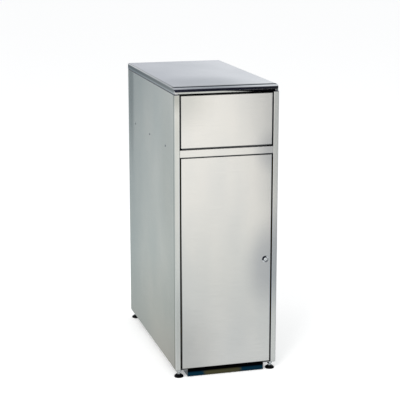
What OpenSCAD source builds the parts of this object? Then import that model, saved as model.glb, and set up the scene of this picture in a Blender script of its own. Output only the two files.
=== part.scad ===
// Tray emptying waste bin: a stainless steel cabinet with a push flap above a
// lockable door, and a slim two-wheeled bin that stands behind the door.
// Millimetres. +Z is up, the front faces -Y, and the origin is on the floor
// under the middle of the cabinet. Everything is drawn closed.

/* [Cabinet] */
// Width over the side panels
body_w = 450; // [430:5:520]
// Depth from the front face to the rear face
body_d = 880; // [850:10:1000]
// Height of the worktop above the floor
body_h = 1250; // [1230:10:1350]
// Thickness of the folded cabinet sheet
sheet = 1.5; // [1.2:0.1:1.8]
// Outer radius of the folded edges
bend_r = 2.5; // [2:0.1:3.5]
// Width of the posts beside the door
post_w = 23; // [21:0.5:28]
// Depth of the posts
post_d = 25; // [22:0.5:30]
// Width of the returns at the back and top of the side panels
return_w = 18; // [15:0.5:20]

/* [Worktop] */
// Height of the worktop edge
top_h = 28; // [24:0.5:32]
// Radius of the rolled front nose
nose_r = 32; // [30:0.5:36]
// Radius along the side edges of the worktop
top_edge_r = 6; // [4:0.5:8]
// Radius of the front corners of the worktop, seen from above
top_corner_r = 14; // [12:0.5:16]
// Height of the shadow gap under the nose
nose_gap_h = 9; // [7:0.5:11]
// Depth of the shadow gap under the nose
nose_gap_d = 8; // [6:0.5:9]

/* [Front] */
// Height of the mid rail above the rim of the bin
rail_rise = 55; // [45:5:75]
// Height of the mid rail
rail_h = 32; // [28:1:40]
// Gap between the flap or door and the posts
side_gap = 5; // [4:0.5:6]
// Gap above and below the flap
flap_gap = 5; // [4:0.5:6]
// Gap between the door and the mid rail
door_gap = 3; // [3:0.25:4]
// Height of the door above the underside of the cabinet
door_rise = 4; // [4:0.5:6]
// Depth of the flap
flap_d = 18; // [16:0.5:19]
// Depth of the door
door_d = 22; // [20:0.5:22.5]
// Sheet thickness of the flap and door skins
skin = 1.2; // [1:0.1:1.5]
// Sheet thickness of the flap and door liners
liner = 1; // [0.8:0.1:1.2]

/* [Pivots] */
// Diameter of the flap and door pivot pins
pin_dia = 8; // [6:0.5:8]
// Distance of the pivots behind the front face
pivot_in = 8.5; // [8:0.25:9]
// Distance of the flap pivots below the top edge of the flap
flap_pivot_drop = 12; // [11:0.5:13]
// Distance of the door pivots from the hinge edge of the door
door_pivot_in = 8.5; // [8:0.25:9]
// Radial running clearance of the pins
fit = 0.05; // [0.02:0.01:0.09]
// Wall of the pivot bushes
bush_wall = 2; // [1.5:0.25:2.5]
// Height and width of the nylon blocks that hold the pins
block = 20; // [18:1:26]

/* [Lock] */
// Distance of the lock from the free edge of the door
lock_in = 24; // [22:0.5:26]
// Height of the lock above the floor
lock_z = 501; // [450:5:600]
// Diameter of the lock ring
lock_ring_dia = 30; // [28:0.5:32]
// Diameter of the lock housing
lock_body_dia = 22; // [20:0.5:23]
// Diameter of the turning plug
lock_plug_dia = 16; // [14:0.5:17]
// Reach of the cam from the middle of the plug
cam_reach = 36; // [34:0.5:38]
// Thickness of the cam
cam_t = 2.5; // [2:0.25:3]

/* [Chute] */
// Distance of the sides of the mouth inside the sides of the bin
mouth_in = 10; // [6:1:30]
// Height above the mid rail at which the chute sides start to lean inwards
chute_bend_rise = 25; // [22:1:32]
// Height of the mouth above the rim of the bin
chute_rise = 10; // [8:1:20]
// Distance of the rear chute plate behind the front face
chute_d = 330; // [300:5:360]
// Distance of the front edge of the mouth behind the front face
chute_lip_d = 126; // [118:1:132]
// Sheet thickness of the chute
chute_t = 1.2; // [1:0.1:1.5]
// Running gap between the chute sides and the flap
chute_gap = 3; // [2.5:0.25:3.5]

/* [Feet] */
// Height of the underside of the cabinet above the floor
foot_h = 36; // [34:1:45]
// Diameter of the foot pads
pad_dia = 40; // [34:1:44]
// Height of the foot pads
pad_h = 12; // [9:0.5:14]
// Diameter of the foot studs
stud_dia = 10; // [8:0.5:12]
// Width across the flats of the foot nuts
nut_af = 19; // [17:0.5:22]
// Distance of the feet from the sides
foot_side = 20; // [20:0.5:23]
// Distance of the front feet from the front face
foot_front = 21; // [21:0.5:24]
// Distance of the rear feet from the rear face
foot_rear = 25; // [22:0.5:30]
// Thickness of the foot plates
plate_t = 3; // [2.5:0.25:4]

/* [Floor frame] */
// Gap between the floor frame and the pads of the front feet
guide_foot_gap = 15; // [12:0.5:17]
// Height of the underside of the frame above the floor
guide_z = 2; // [1:0.5:5]
// Width of the top of the front bar
guide_bar_d = 50; // [46:0.5:54]
// Distance of the front bar behind the front face
guide_in = 5; // [4:0.5:8]
// Length of the floor frame
guide_len = 790; // [770:5:800]

/* [Bin] */
// Distance of the sides of the bin inside the floor frame
bin_side_in = 10; // [9:1:16]
// How far each side wall leans over its height
bin_lean_side = 22; // [15:1:26]
// Depth of the bin below its rim
bin_d_top = 486; // [440:2:520]
// How far the front wall leans over its height
bin_lean_front = 26; // [16:1:36]
// How far the rear wall leans over its height
bin_lean_rear = 60; // [30:1:80]
// Height of the rim of the bin
bin_h = 905; // [880:1:907]
// Height of the base of the bin above the floor
bin_base_z = 18; // [14:1:24]
// Wall thickness of the bin
bin_wall = 4; // [3:0.25:5]
// Width of the rim
rim_w = 12; // [10:0.5:14]
// Depth of the rim skirt
rim_skirt = 38; // [30:1:45]
// Diameter of the handle bar
handle_dia = 24; // [20:0.5:24]
// Gap for the fingers behind the handle bar
grip_gap = 20; // [18:0.5:22]
// Diameter of the wheels
wheel_dia = 160; // [150:2:170]
// Width of the tyres
wheel_w = 34; // [28:1:36]
// Gap between the tyres and the floor frame
wheel_play = 2; // [1:0.25:4]
// Diameter of the axle
axle_dia = 16; // [14:0.5:20]
// Diameter of the lid pins
lid_pin_dia = 12; // [10:0.5:13]
// Length of the lid from its pivot
lid_len = 515; // [500:1:530]
// Height of the edge of the lid
lid_edge = 18; // [14:0.5:20]
// Wall thickness of the lid
lid_wall = 3; // [2.5:0.25:3.5]

/* [Hidden] */
$fn = 64;
over = 1;

hw = body_w / 2;
front = -body_d / 2;
rear = body_d / 2;
case_z = body_h - top_h;
open_hw = hw - post_w;
rail_z = bin_h + rail_rise;
rail_top = rail_z + rail_h;
rear_flange = 20;
rail_lap = 26;
nose_gap_hw = hw - top_corner_r - 3;

leaf_hw = open_hw - side_gap;
leaf_w = 2 * leaf_hw;
flap_z = rail_top + flap_gap + 1;
flap_top = case_z - flap_gap;
door_z = foot_h + door_rise;
door_top = rail_z - door_gap;
door_back = front + door_d;
flap_back = front + flap_d;

pin_r = pin_dia / 2;
bush_r = pin_r + fit + bush_wall;
bush_flange_r = bush_r + 2;
seat_gap = 0.3;
flap_pivot = [front + pivot_in, flap_top - flap_pivot_drop];
door_pivot = [-leaf_hw + door_pivot_in, front + pivot_in];
flap_liner_d = flap_d - pivot_in - pin_r - seat_gap;
door_liner_d = door_d - pivot_in - pin_r - seat_gap;
block_in = skin + liner + seat_gap;

stop_lip = 18;
buffer_dia = 10;
buffer_x = leaf_hw - 47;
stiffener_in = 60;
stiffener_w = 50;
stiffener_foot = 12;
flap_lip_hw = leaf_hw - 12;
flap_lip_y = front + post_d + 3;
flap_lip_z = rail_top - 8;

lock_x = leaf_hw - lock_in;
lock_back = front + post_d + 1;
cam_y = front + post_d + 1.5;
keeper_t = 2.5;
keeper_h = 60;

foot_x = hw - foot_side;
front_foot = [-foot_x, front + foot_front];
rear_foot = [-foot_x, rear - foot_rear];
foot_nut_h = 11;
plate_len = 60;
plate_in = 2.5;

guide_hw = foot_x - pad_dia / 2 - guide_foot_gap;
guide_y = front + guide_in;
guide_top = foot_h;
guide_end = guide_y + guide_len;
guide_tab_in = 160;
guide_tab_pitch = 270;
guide_tab_w = 40;
stop_in = 75;
stop_d = 22;
bin_hw_top = guide_hw - bin_side_in;
bin_hw_base = bin_hw_top - bin_lean_side;

mouth_hw = bin_hw_top - mouth_in;
chute_z = bin_h + chute_rise;
chute_bend_z = rail_z + chute_bend_rise;
chute_hw = leaf_hw + chute_gap;
chute_top = case_z - 6;
chute_front_y = front + post_d + 4;
chute_rear_y = front + chute_d;
chute_lip_y = front + chute_lip_d;
chute_flange = 12;
chute_hanger = 16;
drip_drop = 16;
kick_in = 25;
kick_rise = 15;
brace_h = 30;
brace_z = chute_bend_z - 15;
brace_front = chute_front_y;
fixing_dia = 5;
fixing_in = 157;
fixing_pitch = 287;
fixing_y = [for (i = [0:2]) front + fixing_in + i * fixing_pitch];
screw_in = [40, 50];
screw_y = [chute_front_y + screw_in[0], chute_rear_y - screw_in[1]];

wheel_r = wheel_dia / 2;
axle_r = axle_dia / 2;
wheel_y = guide_y + guide_bar_d + seat_gap
    + sqrt(wheel_r * wheel_r - (wheel_r - guide_top) * (wheel_r - guide_top));
tyre_x = guide_hw - sheet - wheel_play;
hub_r = wheel_r - 15;
well_hw = tyre_x - wheel_w - 5;
bin_front = wheel_y - 13;
bin_y = bin_front + bin_d_top / 2;
bin_corner = 42;
rim_t = 12;
rim_hw = bin_hw_top + rim_w;
lid_pin_r = lid_pin_dia / 2;
lid_arm_r = lid_pin_r + 6;
lid_y = bin_front - rim_w - grip_gap - handle_dia / 2;
lid_z = bin_h - 20;
lid_arm_x = bin_hw_top - 40;
lid_arm_w = 26;
lug_t = 10;

steel = [0.78, 0.78, 0.76];
side_steel = [0.64, 0.66, 0.65];
top_steel = [0.76, 0.78, 0.80];
inner_steel = [0.60, 0.61, 0.62];
bright = [0.86, 0.86, 0.87];
black = [0.10, 0.10, 0.11];
nylon = [0.20, 0.20, 0.21];
yellow = [0.93, 0.80, 0.16];
board = [0.72, 0.58, 0.40];

// Sheet folded through a right angle. The outer corner is at the origin.
module fold(leg_x, leg_y, t, r) {
    translate([r, 0]) square([leg_x - r, t]);
    translate([0, r]) square([t, leg_y - r]);
    translate([r, r]) intersection() {
        difference() {
            circle(r);
            circle(r - t);
        }
        translate([-r, -r]) square(r);
    }
}

// Outline with all four corners rounded
module round_rect(w, h, r) {
    translate([r, 0]) square([w - 2 * r, h]);
    translate([0, r]) square([w, h - 2 * r]);
    for (x = [r, w - r], y = [r, h - r]) translate([x, y]) circle(r);
}

// Outline with the two corners at y = 0 rounded
module round_front(w, d, r) {
    translate([r, 0]) square([w - 2 * r, d]);
    translate([0, r]) square([w, d - r]);
    for (x = [r, w - r]) translate([x, r]) circle(r);
}

// Extrudes an outline of (y, z) along X
module along_x(x0, x1) {
    translate([x0, 0, 0]) rotate([90, 0, 90]) linear_extrude(x1 - x0) children();
}

// Extrudes an outline of (x, z) along Y
module along_y(y0, y1) {
    translate([0, y1, 0]) rotate([90, 0, 0]) linear_extrude(y1 - y0) children();
}

// Block with rounded edges round its front face, which is in the plane y = 0
module pan_block(w, h, d, r) {
    intersection() {
        linear_extrude(h) round_front(w, d, r);
        translate([w, 0, 0]) rotate([0, -90, 0]) linear_extrude(w) round_front(h, d, r);
    }
}

// Sheet pan: the front face is in the plane y = 0 and its edges are folded back
module pan(w, h, d, t, r) {
    difference() {
        pan_block(w, h, d, r);
        translate([t, t, t]) pan_block(w - 2 * t, h - 2 * t, d, r - t);
    }
}

// Both sides of what the cabinet has on the left
module both_sides() {
    children();
    mirror([1, 0, 0]) children();
}

// Plan of the left side panel, with its outer front corner at the origin
module side_plan() {
    fold(post_w / 2 + 1, body_d / 2 + 1, sheet, bend_r);
    translate([post_w, 0]) mirror([1, 0]) fold(post_w / 2 + 1, post_d, sheet, bend_r);
    translate([0, body_d]) mirror([0, 1]) fold(return_w, body_d / 2 + 1, sheet, bend_r);
}

module side_panel() {
    tall = case_z - foot_h;
    difference() {
        intersection() {
            union() {
                translate([-hw, front, foot_h]) linear_extrude(tall) side_plan();
                for (z = [foot_h, case_z - sheet])
                    translate([-hw + sheet / 2, front + sheet / 2, z])
                        cube([return_w, body_d - sheet, sheet]);
                for (z = [foot_h, case_z - sheet])
                    translate([-hw + sheet / 2, front + sheet / 2, z])
                        cube([post_w - sheet, post_d - sheet, sheet]);
            }
            along_y(front, rear) translate([-hw, foot_h]) round_rect(body_w, tall, bend_r);
        }
        translate([-open_hw - sheet - over, flap_pivot[0], flap_pivot[1]]) rotate([0, 90, 0])
            cylinder(r = bush_r, h = sheet + 2 * over);
        for (y = fixing_y) translate([-hw - over, y, brace_z + brace_h / 2]) rotate([0, 90, 0])
            cylinder(d = fixing_dia, h = sheet + 2 * over);
    }
}
module side_left() { color(side_steel) side_panel(); }
module side_right() { color(side_steel) mirror([1, 0, 0]) side_panel(); }

module rear_panel() {
    z0 = foot_h + sheet;
    h = case_z - sheet - z0;
    color(side_steel) translate([-hw + sheet, rear - sheet, z0]) mirror([0, 1, 0])
        pan(body_w - 2 * sheet, h, rear_flange, sheet, bend_r);
}

// Side outline of the worktop, drawn in by a wall of t
module top_side(t) {
    intersection() {
        union() {
            translate([nose_r, 0]) square([body_d - nose_r - t, top_h]);
            translate([nose_r, top_h - nose_r]) circle(nose_r - t, $fn = 128);
        }
        translate([0, t]) square([body_d, top_h - 2 * t]);
    }
}

// Front outline of the worktop, drawn in by a wall of t: rolled above, folded under below
module top_front(t) {
    w = body_w - 2 * t;
    r = top_edge_r - t;
    low_r = bend_r - t;
    translate([-hw + t, t]) {
        translate([0, low_r]) square([w, top_h - 2 * t - low_r - r]);
        translate([low_r, 0]) square([w - 2 * low_r, top_h - 2 * t - r]);
        translate([r, 0]) square([w - 2 * r, top_h - 2 * t]);
        for (x = [r, w - r]) translate([x, top_h - 2 * t - r]) circle(r);
        for (x = [low_r, w - low_r]) translate([x, low_r]) circle(low_r);
    }
}

module top_block(t) {
    translate([0, front, case_z]) intersection() {
        along_x(-hw, hw) top_side(t);
        along_y(0, body_d) top_front(t);
        translate([-hw + t, t, 0]) linear_extrude(top_h)
            round_front(body_w - 2 * t, body_d - 2 * t, top_corner_r - t);
    }
}

module worktop() {
    color(top_steel) {
        difference() {
            top_block(0);
            top_block(sheet);
            translate([-nose_gap_hw, front - over, case_z - over])
                cube([2 * nose_gap_hw, body_d - return_w + over, sheet + 2 * over]);
            translate([-nose_gap_hw, front - over, case_z - over])
                cube([2 * nose_gap_hw, nose_gap_d + over, nose_gap_h + over]);
        }
        intersection() {
            top_block(0);
            translate([-nose_gap_hw - sheet, front, case_z + nose_gap_h])
                cube([2 * (nose_gap_hw + sheet), nose_gap_d, sheet]);
        }
        for (s = [-1, 1]) intersection() {
            top_block(0);
            translate([s * (nose_gap_hw + sheet / 2) - sheet / 2, front, case_z])
                cube([sheet, nose_gap_d, nose_gap_h + sheet]);
        }
    }
}

module worktop_core() {
    color(board) translate([-hw + top_edge_r, front + nose_r, case_z + sheet])
        cube([body_w - 2 * top_edge_r, body_d - nose_r - top_edge_r, top_h - 2 * sheet]);
}

module top_rail() {
    color(inner_steel) along_x(0.5 - nose_gap_hw, nose_gap_hw - 0.5)
        translate([front + nose_gap_d, case_z])
            fold(nose_r + rail_lap - nose_gap_d, nose_gap_h + 2, sheet, bend_r);
}

// Section of the mid rail, with its lower front corner at the origin
module rail_section() {
    fold(post_d / 2 + 1, rail_h / 2 + 1, sheet, bend_r);
    translate([0, rail_h]) mirror([0, 1]) fold(post_d / 2 + 1, rail_h / 2 + 1, sheet, bend_r);
    translate([post_d, rail_h]) rotate(180) fold(post_d / 2 + 1, 13, sheet, bend_r);
    translate([post_d, sheet]) rotate(180) fold(post_d / 2 + 1, stop_lip + sheet, sheet, bend_r);
}

module mid_rail() {
    color(steel) difference() {
        along_x(-open_hw, open_hw) translate([front, rail_z]) rail_section();
        translate([door_pivot[0], door_pivot[1], rail_z - over])
            cylinder(r = bush_r, h = sheet + 2 * over);
        translate([-hw, front + post_d - sheet - over, rail_z - stop_lip - over])
            cube([hw + door_pivot[0] + block, sheet + 2 * over, stop_lip + over]);
    }
}

// Channel along the inside of the left side panel
module side_brace() {
    x0 = -hw + sheet;
    w = hw - sheet - chute_hw - chute_t;
    color(inner_steel) difference() {
        along_y(brace_front, rear - sheet - rear_flange - 1) translate([x0, brace_z]) {
            fold(w / 2 + 1, brace_h, sheet, bend_r);
            translate([w, 0]) mirror([1, 0]) fold(w / 2 + 1, brace_h, sheet, bend_r);
        }
        for (y = fixing_y) translate([x0 - over, y, brace_z + brace_h / 2]) rotate([0, 90, 0])
            cylinder(d = fixing_dia, h = sheet + 2 * over);
        for (y = screw_y) translate([x0 + w - sheet - over, y, brace_z + brace_h - 8])
            rotate([0, 90, 0]) cylinder(d = fixing_dia, h = sheet + 2 * over);
    }
}
module side_brace_left() { side_brace(); }
module side_brace_right() { mirror([1, 0, 0]) side_brace(); }

module side_fixings() {
    color(bright) both_sides() for (y = fixing_y)
        translate([-hw, y, brace_z + brace_h / 2]) rotate([0, 90, 0]) rotate_extrude() polygon([
            [0, -2.2], [3, -2.2], [4.6, -1.2], [4.8, 0], [fixing_dia / 2, 0],
            [fixing_dia / 2, 2 * sheet], [4, 2 * sheet], [3.4, 2 * sheet + 2], [0, 2 * sheet + 2]
        ]);
}

// Front view of the inside of the chute: upright walls above a funnel
module funnel() {
    polygon([
        [-chute_hw, chute_top + over], [-chute_hw, chute_bend_z], [-mouth_hw, chute_z],
        [-mouth_hw, chute_z - 40], [mouth_hw, chute_z - 40], [mouth_hw, chute_z],
        [chute_hw, chute_bend_z], [chute_hw, chute_top + over]
    ]);
}

// Sheet along the line from a to b, with its thickness on the left of the line
module strip(a, b, t) {
    run = sqrt((b[0] - a[0]) * (b[0] - a[0]) + (b[1] - a[1]) * (b[1] - a[1]));
    n = [-(b[1] - a[1]) / run * t, (b[0] - a[0]) / run * t];
    polygon([a, b, b + n, a + n]);
}

module chute_side() {
    a = [-chute_hw, chute_bend_z];
    b = [-mouth_hw, chute_z];
    color(inner_steel) difference() {
        along_y(chute_front_y, chute_rear_y + chute_t + chute_flange) {
            translate([-chute_hw - chute_t, chute_bend_z])
                square([chute_t, chute_top - chute_bend_z]);
            translate([-chute_hw - chute_hanger, chute_top - chute_t])
                square([chute_hanger, chute_t]);
            strip(b, a, chute_t);
            translate([-chute_hw, chute_bend_z]) circle(chute_t);
        }
        along_y(chute_front_y - over, chute_rear_y + 2 * chute_flange) intersection() {
            funnel();
            translate([-hw, chute_z - 10]) square([body_w, chute_top]);
        }
        for (y = screw_y) translate([-chute_hw - chute_t - over, y, brace_z + brace_h - 8])
            rotate([0, 90, 0]) cylinder(d = fixing_dia, h = chute_t + 2 * over);
    }
}
module chute_left() { chute_side(); }
module chute_right() { mirror([1, 0, 0]) chute_side(); }

// Drip plate from the mid rail down to the mouth
module chute_front() {
    fold_y = front + post_d;
    fold_z = rail_top - drip_drop;
    color(inner_steel) intersection() {
        along_x(-chute_hw, chute_hw) {
            translate([fold_y, rail_z - stop_lip + 2]) square([chute_t, fold_z - rail_z + stop_lip - 2]);
            strip([fold_y, fold_z], [chute_lip_y, chute_z], chute_t);
            translate([fold_y + chute_t / 2, fold_z]) circle(chute_t / 2);
        }
        along_y(front, rear) funnel();
    }
}

module chute_rear() {
    y = chute_rear_y;
    kick_z = chute_bend_z + kick_rise;
    color(inner_steel) intersection() {
        union() {
            along_x(-chute_hw, chute_hw) {
                translate([y, kick_z]) square([chute_t, chute_top - kick_z]);
                strip([y - kick_in, chute_z], [y + chute_t, kick_z], chute_t);
                translate([y, chute_top - chute_t]) square([chute_flange, chute_t]);
            }
            both_sides() translate([-chute_hw, y, chute_bend_z])
                cube([chute_t, chute_flange, chute_top - chute_bend_z]);
        }
        along_y(front, rear) funnel();
    }
}

module chute_screws() {
    color(bright) both_sides() for (y = screw_y)
        translate([-chute_hw, y, brace_z + brace_h - 8]) rotate([0, -90, 0]) rotate_extrude() polygon([
            [0, -2], [3, -2], [4.4, -1], [4.4, 0], [fixing_dia / 2, 0],
            [fixing_dia / 2, 8], [0, 8]
        ]);
}

// Frame on the underside of the cabinet that keeps the bin in its place
module bin_guide() {
    h = guide_top - guide_z;
    color(bright) {
        along_x(-guide_hw, guide_hw) translate([guide_y, guide_top]) mirror([0, 1])
            fold(guide_bar_d, h, sheet, bend_r);
        both_sides() {
            translate([-guide_hw, guide_y, guide_z]) cube([sheet, guide_len, h]);
            for (i = [0:2]) translate([-hw + 3, front + guide_tab_in + i * guide_tab_pitch
                - guide_tab_w / 2, guide_top - sheet])
                cube([hw - 3 - guide_hw + sheet, guide_tab_w, sheet]);
        }
    }
}

module bin_stop() {
    inner = guide_hw - sheet;
    color(bright) along_x(-inner, inner) translate([guide_end - stop_in, guide_z])
        fold(stop_d, guide_top - guide_z, sheet, bend_r);
}

// Plate under a corner of the cabinet that takes a foot
module foot_plate(at, x0, x1, y0, y1) {
    difference() {
        translate([x0, y0, foot_h - plate_t]) cube([x1 - x0, y1 - y0, plate_t]);
        translate([at[0], at[1], foot_h - plate_t - over])
            cylinder(r = stud_dia / 2 + fit, h = plate_t + 2 * over);
    }
}

module foot_plates() {
    plate_hw = 27;
    color(inner_steel) {
        mirror([1, 0, 0]) foot_plate(front_foot, -hw + plate_in, -guide_hw - 2,
            front + plate_in, front + plate_len);
        both_sides() foot_plate(rear_foot, -hw + plate_in, -foot_x + plate_hw,
            rear_foot[1] - plate_hw, rear - plate_in);
    }
}

module lower_hinge_plate() {
    color(inner_steel) difference() {
        foot_plate(front_foot, -hw + plate_in, -guide_hw - 2, front + 1.5, front + plate_len);
        translate([door_pivot[0], door_pivot[1], foot_h - plate_t - over])
            cylinder(r = bush_r, h = plate_t + 2 * over);
    }
}

// Hex nuts welded under the foot plates
module foot_nuts() {
    color(bright) both_sides() for (at = [front_foot, rear_foot])
        translate([at[0], at[1], foot_h - plate_t - foot_nut_h]) difference() {
            cylinder(d = nut_af / cos(30), h = foot_nut_h, $fn = 6);
            translate([0, 0, -over]) cylinder(r = stud_dia / 2 + fit, h = foot_nut_h + 2 * over);
        }
}

// Threaded stud of a levelling foot, screwed fully in
module foot_stud(x, y) {
    r = stud_dia / 2;
    color(bright) translate([x, y, pad_h - 5]) rotate_extrude() polygon([
        [0, 0], [r, 0], [r, foot_h - pad_h + 4], [r - 1, foot_h - pad_h + 5],
        [0, foot_h - pad_h + 5]
    ]);
}

module foot_pad(x, y) {
    r = pad_dia / 2;
    stud_r = stud_dia / 2;
    color(black) translate([x, y, 0]) rotate_extrude() polygon([
        [0, 0], [r - 1, 0], [r, 1], [r, pad_h * 0.45], [r - 2, pad_h * 0.6], [nut_af * 0.62, pad_h],
        [stud_r, pad_h], [stud_r, pad_h - 5], [0, pad_h - 5]
    ]);
}
module foot_stud_front_left() { foot_stud(-foot_x, front_foot[1]); }
module foot_stud_front_right() { foot_stud(foot_x, front_foot[1]); }
module foot_stud_rear_left() { foot_stud(-foot_x, rear_foot[1]); }
module foot_stud_rear_right() { foot_stud(foot_x, rear_foot[1]); }
module foot_pad_front_left() { foot_pad(-foot_x, front_foot[1]); }
module foot_pad_front_right() { foot_pad(foot_x, front_foot[1]); }
module foot_pad_rear_left() { foot_pad(-foot_x, rear_foot[1]); }
module foot_pad_rear_right() { foot_pad(foot_x, rear_foot[1]); }

// Flanged bush: the flange stands on z = 0 and the body reaches down through a plate
module bush(flange_h, body_h) {
    rotate_extrude() polygon([
        [pin_r + fit, -body_h], [bush_r, -body_h], [bush_r, 0], [bush_flange_r, 0],
        [bush_flange_r, flange_h], [pin_r + fit, flange_h]
    ]);
}

module flap_bushes() {
    color(nylon) both_sides() translate([-open_hw, flap_pivot[0], flap_pivot[1]])
        rotate([0, 90, 0]) bush(side_gap - seat_gap, sheet + 1);
}

module door_bush_upper() {
    color(nylon) translate([door_pivot[0], door_pivot[1], rail_z]) mirror([0, 0, 1])
        bush(door_gap - seat_gap, sheet + 2);
}

module door_bush_lower() {
    color(nylon) translate([door_pivot[0], door_pivot[1], foot_h])
        bush(door_rise - seat_gap, plate_t);
}

// Block that holds a pin, as an outline of (x, y) with the pin at the origin
module pin_block(x0, x1, y0, y1, h) {
    difference() {
        translate([x0, y0, 0]) cube([x1 - x0, y1 - y0, h]);
        translate([0, 0, -over]) cylinder(r = pin_r, h = h + 2 * over);
    }
}

module pivot_pin(length) {
    rotate_extrude() polygon([
        [0, 0], [pin_r, 0], [pin_r, length - 1], [pin_r - 1, length], [0, length]
    ]);
}

// Flap, with its skin in front and its liner behind
module flap_skin() {
    color(steel) difference() {
        translate([-leaf_hw, front, flap_z])
            pan(leaf_w, flap_top - flap_z, flap_d, skin, bend_r);
        both_sides() translate([-leaf_hw - over, flap_pivot[0], flap_pivot[1]])
            rotate([0, 90, 0]) cylinder(r = pin_r, h = skin + 2 * over);
    }
}

module flap_liner() {
    z0 = flap_z + skin;
    color(inner_steel) {
        translate([-leaf_hw + skin, flap_back, z0]) mirror([0, 1, 0])
            pan(leaf_w - 2 * skin, flap_top - skin - z0, flap_liner_d, liner, bend_r - 0.5);
        along_x(-flap_lip_hw, flap_lip_hw) {
            translate([flap_back - liner / 2, z0 + 4])
                square([flap_lip_y + liner - flap_back + liner / 2, liner]);
            translate([flap_lip_y, flap_lip_z])
                square([liner, z0 + 4 + liner - flap_lip_z]);
        }
    }
}

module flap_pin_blocks() {
    color(nylon) both_sides() translate([-leaf_hw + block_in, flap_pivot[0], flap_pivot[1]])
        rotate([90, 0, 90]) pin_block(skin - pivot_in, flap_d - liner - seat_gap - pivot_in,
            -block / 2, flap_pivot_drop - block_in, block);
}

module flap_pins() {
    color(bright) both_sides() translate([-leaf_hw + block_in + block, flap_pivot[0], flap_pivot[1]])
        rotate([0, -90, 0]) pivot_pin(block_in + block + side_gap + sheet + 3);
}

module flap_buffers() {
    reach = flap_lip_y - front - post_d;
    color(black) both_sides() translate([-buffer_x, front + post_d, rail_top - 5])
        rotate([-90, 0, 0]) cylinder(d = buffer_dia - 2, h = reach);
}

// Door, with its skin in front and its liner behind
module door_skin() {
    color(steel) difference() {
        translate([-leaf_hw, front, door_z]) pan(leaf_w, door_top - door_z, door_d, skin, bend_r);
        for (z = [door_z, door_top - skin]) translate([door_pivot[0], door_pivot[1], z - over])
            cylinder(r = pin_r, h = skin + 2 * over);
        translate([lock_x, front - over, lock_z]) rotate([-90, 0, 0])
            cylinder(d = lock_body_dia, h = skin + 2 * over);
    }
}

module door_liner() {
    z0 = door_z + skin;
    color(inner_steel) difference() {
        translate([-leaf_hw + skin, door_back, z0]) mirror([0, 1, 0])
            pan(leaf_w - 2 * skin, door_top - skin - z0, door_liner_d, liner, bend_r - 0.5);
        translate([lock_x, door_back - liner - over, lock_z]) rotate([-90, 0, 0])
            cylinder(d = lock_body_dia, h = liner + 2 * over);
    }
}

module door_stiffener() {
    depth = door_d - skin - liner;
    color(inner_steel) translate([-stiffener_w / 2, front + skin, door_z + stiffener_in])
        linear_extrude(door_top - door_z - 2 * stiffener_in) {
            fold(stiffener_w / 2 + 1, depth, sheet, bend_r);
            translate([stiffener_w, 0]) mirror([1, 0])
                fold(stiffener_w / 2 + 1, depth, sheet, bend_r);
            for (x = [-stiffener_foot, stiffener_w]) translate([x, depth - sheet])
                square([stiffener_foot, sheet]);
        }
}

module door_pin_block() {
    pin_block(block_in - door_pivot_in, block - door_pivot_in,
        skin - pivot_in, door_d - liner - seat_gap - pivot_in, block);
}

module door_pin_blocks() {
    color(nylon) translate([door_pivot[0], door_pivot[1], 0]) {
        translate([0, 0, door_z + block_in]) door_pin_block();
        translate([0, 0, door_top - block_in - block]) door_pin_block();
    }
}

module door_pins() {
    color(bright) translate([door_pivot[0], door_pivot[1], 0]) {
        translate([0, 0, door_top - block_in - block])
            pivot_pin(block + block_in + door_gap + sheet + 2);
        translate([0, 0, door_z + block_in + block]) mirror([0, 0, 1])
            pivot_pin(block + block_in + door_rise + plate_t);
    }
}

// Moves a shape that stands on z = 0 to the lock, with its back towards the cabinet
module at_lock(y) {
    translate([lock_x, y, lock_z]) rotate([-90, 0, 0]) children();
}

module lock_housing() {
    ring_h = 2.5;
    ring_r = lock_ring_dia / 2;
    body_r = lock_body_dia / 2;
    plug_r = lock_plug_dia / 2 + fit;
    color(bright) at_lock(front) rotate_extrude() polygon([
        [plug_r, -ring_h], [ring_r - 1.5, -ring_h], [ring_r, -1], [ring_r, 0], [body_r, 0],
        [body_r, lock_back - front], [plug_r, lock_back - front]
    ]);
}

module lock_nut() {
    color(bright) at_lock(door_back) difference() {
        cylinder(d = 27 / cos(30), h = lock_back - door_back - 0.5, $fn = 6);
        translate([0, 0, -over]) cylinder(d = lock_body_dia, h = 10);
    }
}

module lock_plug() {
    plug_r = lock_plug_dia / 2;
    slot_w = 2.2;
    square_w = 8;
    color(bright) difference() {
        union() {
            at_lock(front - 2) rotate_extrude() polygon([
                [0, 0], [plug_r - 0.6, 0], [plug_r, 0.6], [plug_r, cam_y - front + 2],
                [0, cam_y - front + 2]
            ]);
            at_lock(cam_y) translate([-square_w / 2, -square_w / 2, 0]) cube([square_w, square_w, cam_t]);
        }
        translate([lock_x - slot_w / 2, front - 2 - over, lock_z - 4.5])
            cube([slot_w, 12 + over, 9]);
    }
}

module lock_cam() {
    half = 8;
    square_w = 8;
    color(bright) difference() {
        union() {
            at_lock(cam_y) cylinder(r = half + 3, h = cam_t);
            translate([lock_x - half, cam_y, lock_z - cam_reach]) cube([2 * half, cam_t, cam_reach]);
        }
        translate([lock_x - square_w / 2, cam_y - over, lock_z - square_w / 2])
            cube([square_w, cam_t + 2 * over, square_w]);
    }
}

module cam_screw() {
    color(bright) at_lock(cam_y + cam_t) difference() {
        cylinder(d = 13 / cos(30), h = 4, $fn = 6);
        translate([0, 0, 3]) cylinder(d = 8, h = 2);
    }
}

// Catch behind the right post that the cam turns into
module lock_keeper() {
    x0 = open_hw + sheet;
    y1 = cam_y - 0.5;
    color(bright) translate([0, 0, lock_z - keeper_h / 2]) linear_extrude(keeper_h) {
        translate([x0, front + 6]) square([keeper_t, y1 - front - 6]);
        translate([x0, y1 - keeper_t]) square([14, keeper_t]);
    }
}

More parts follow.
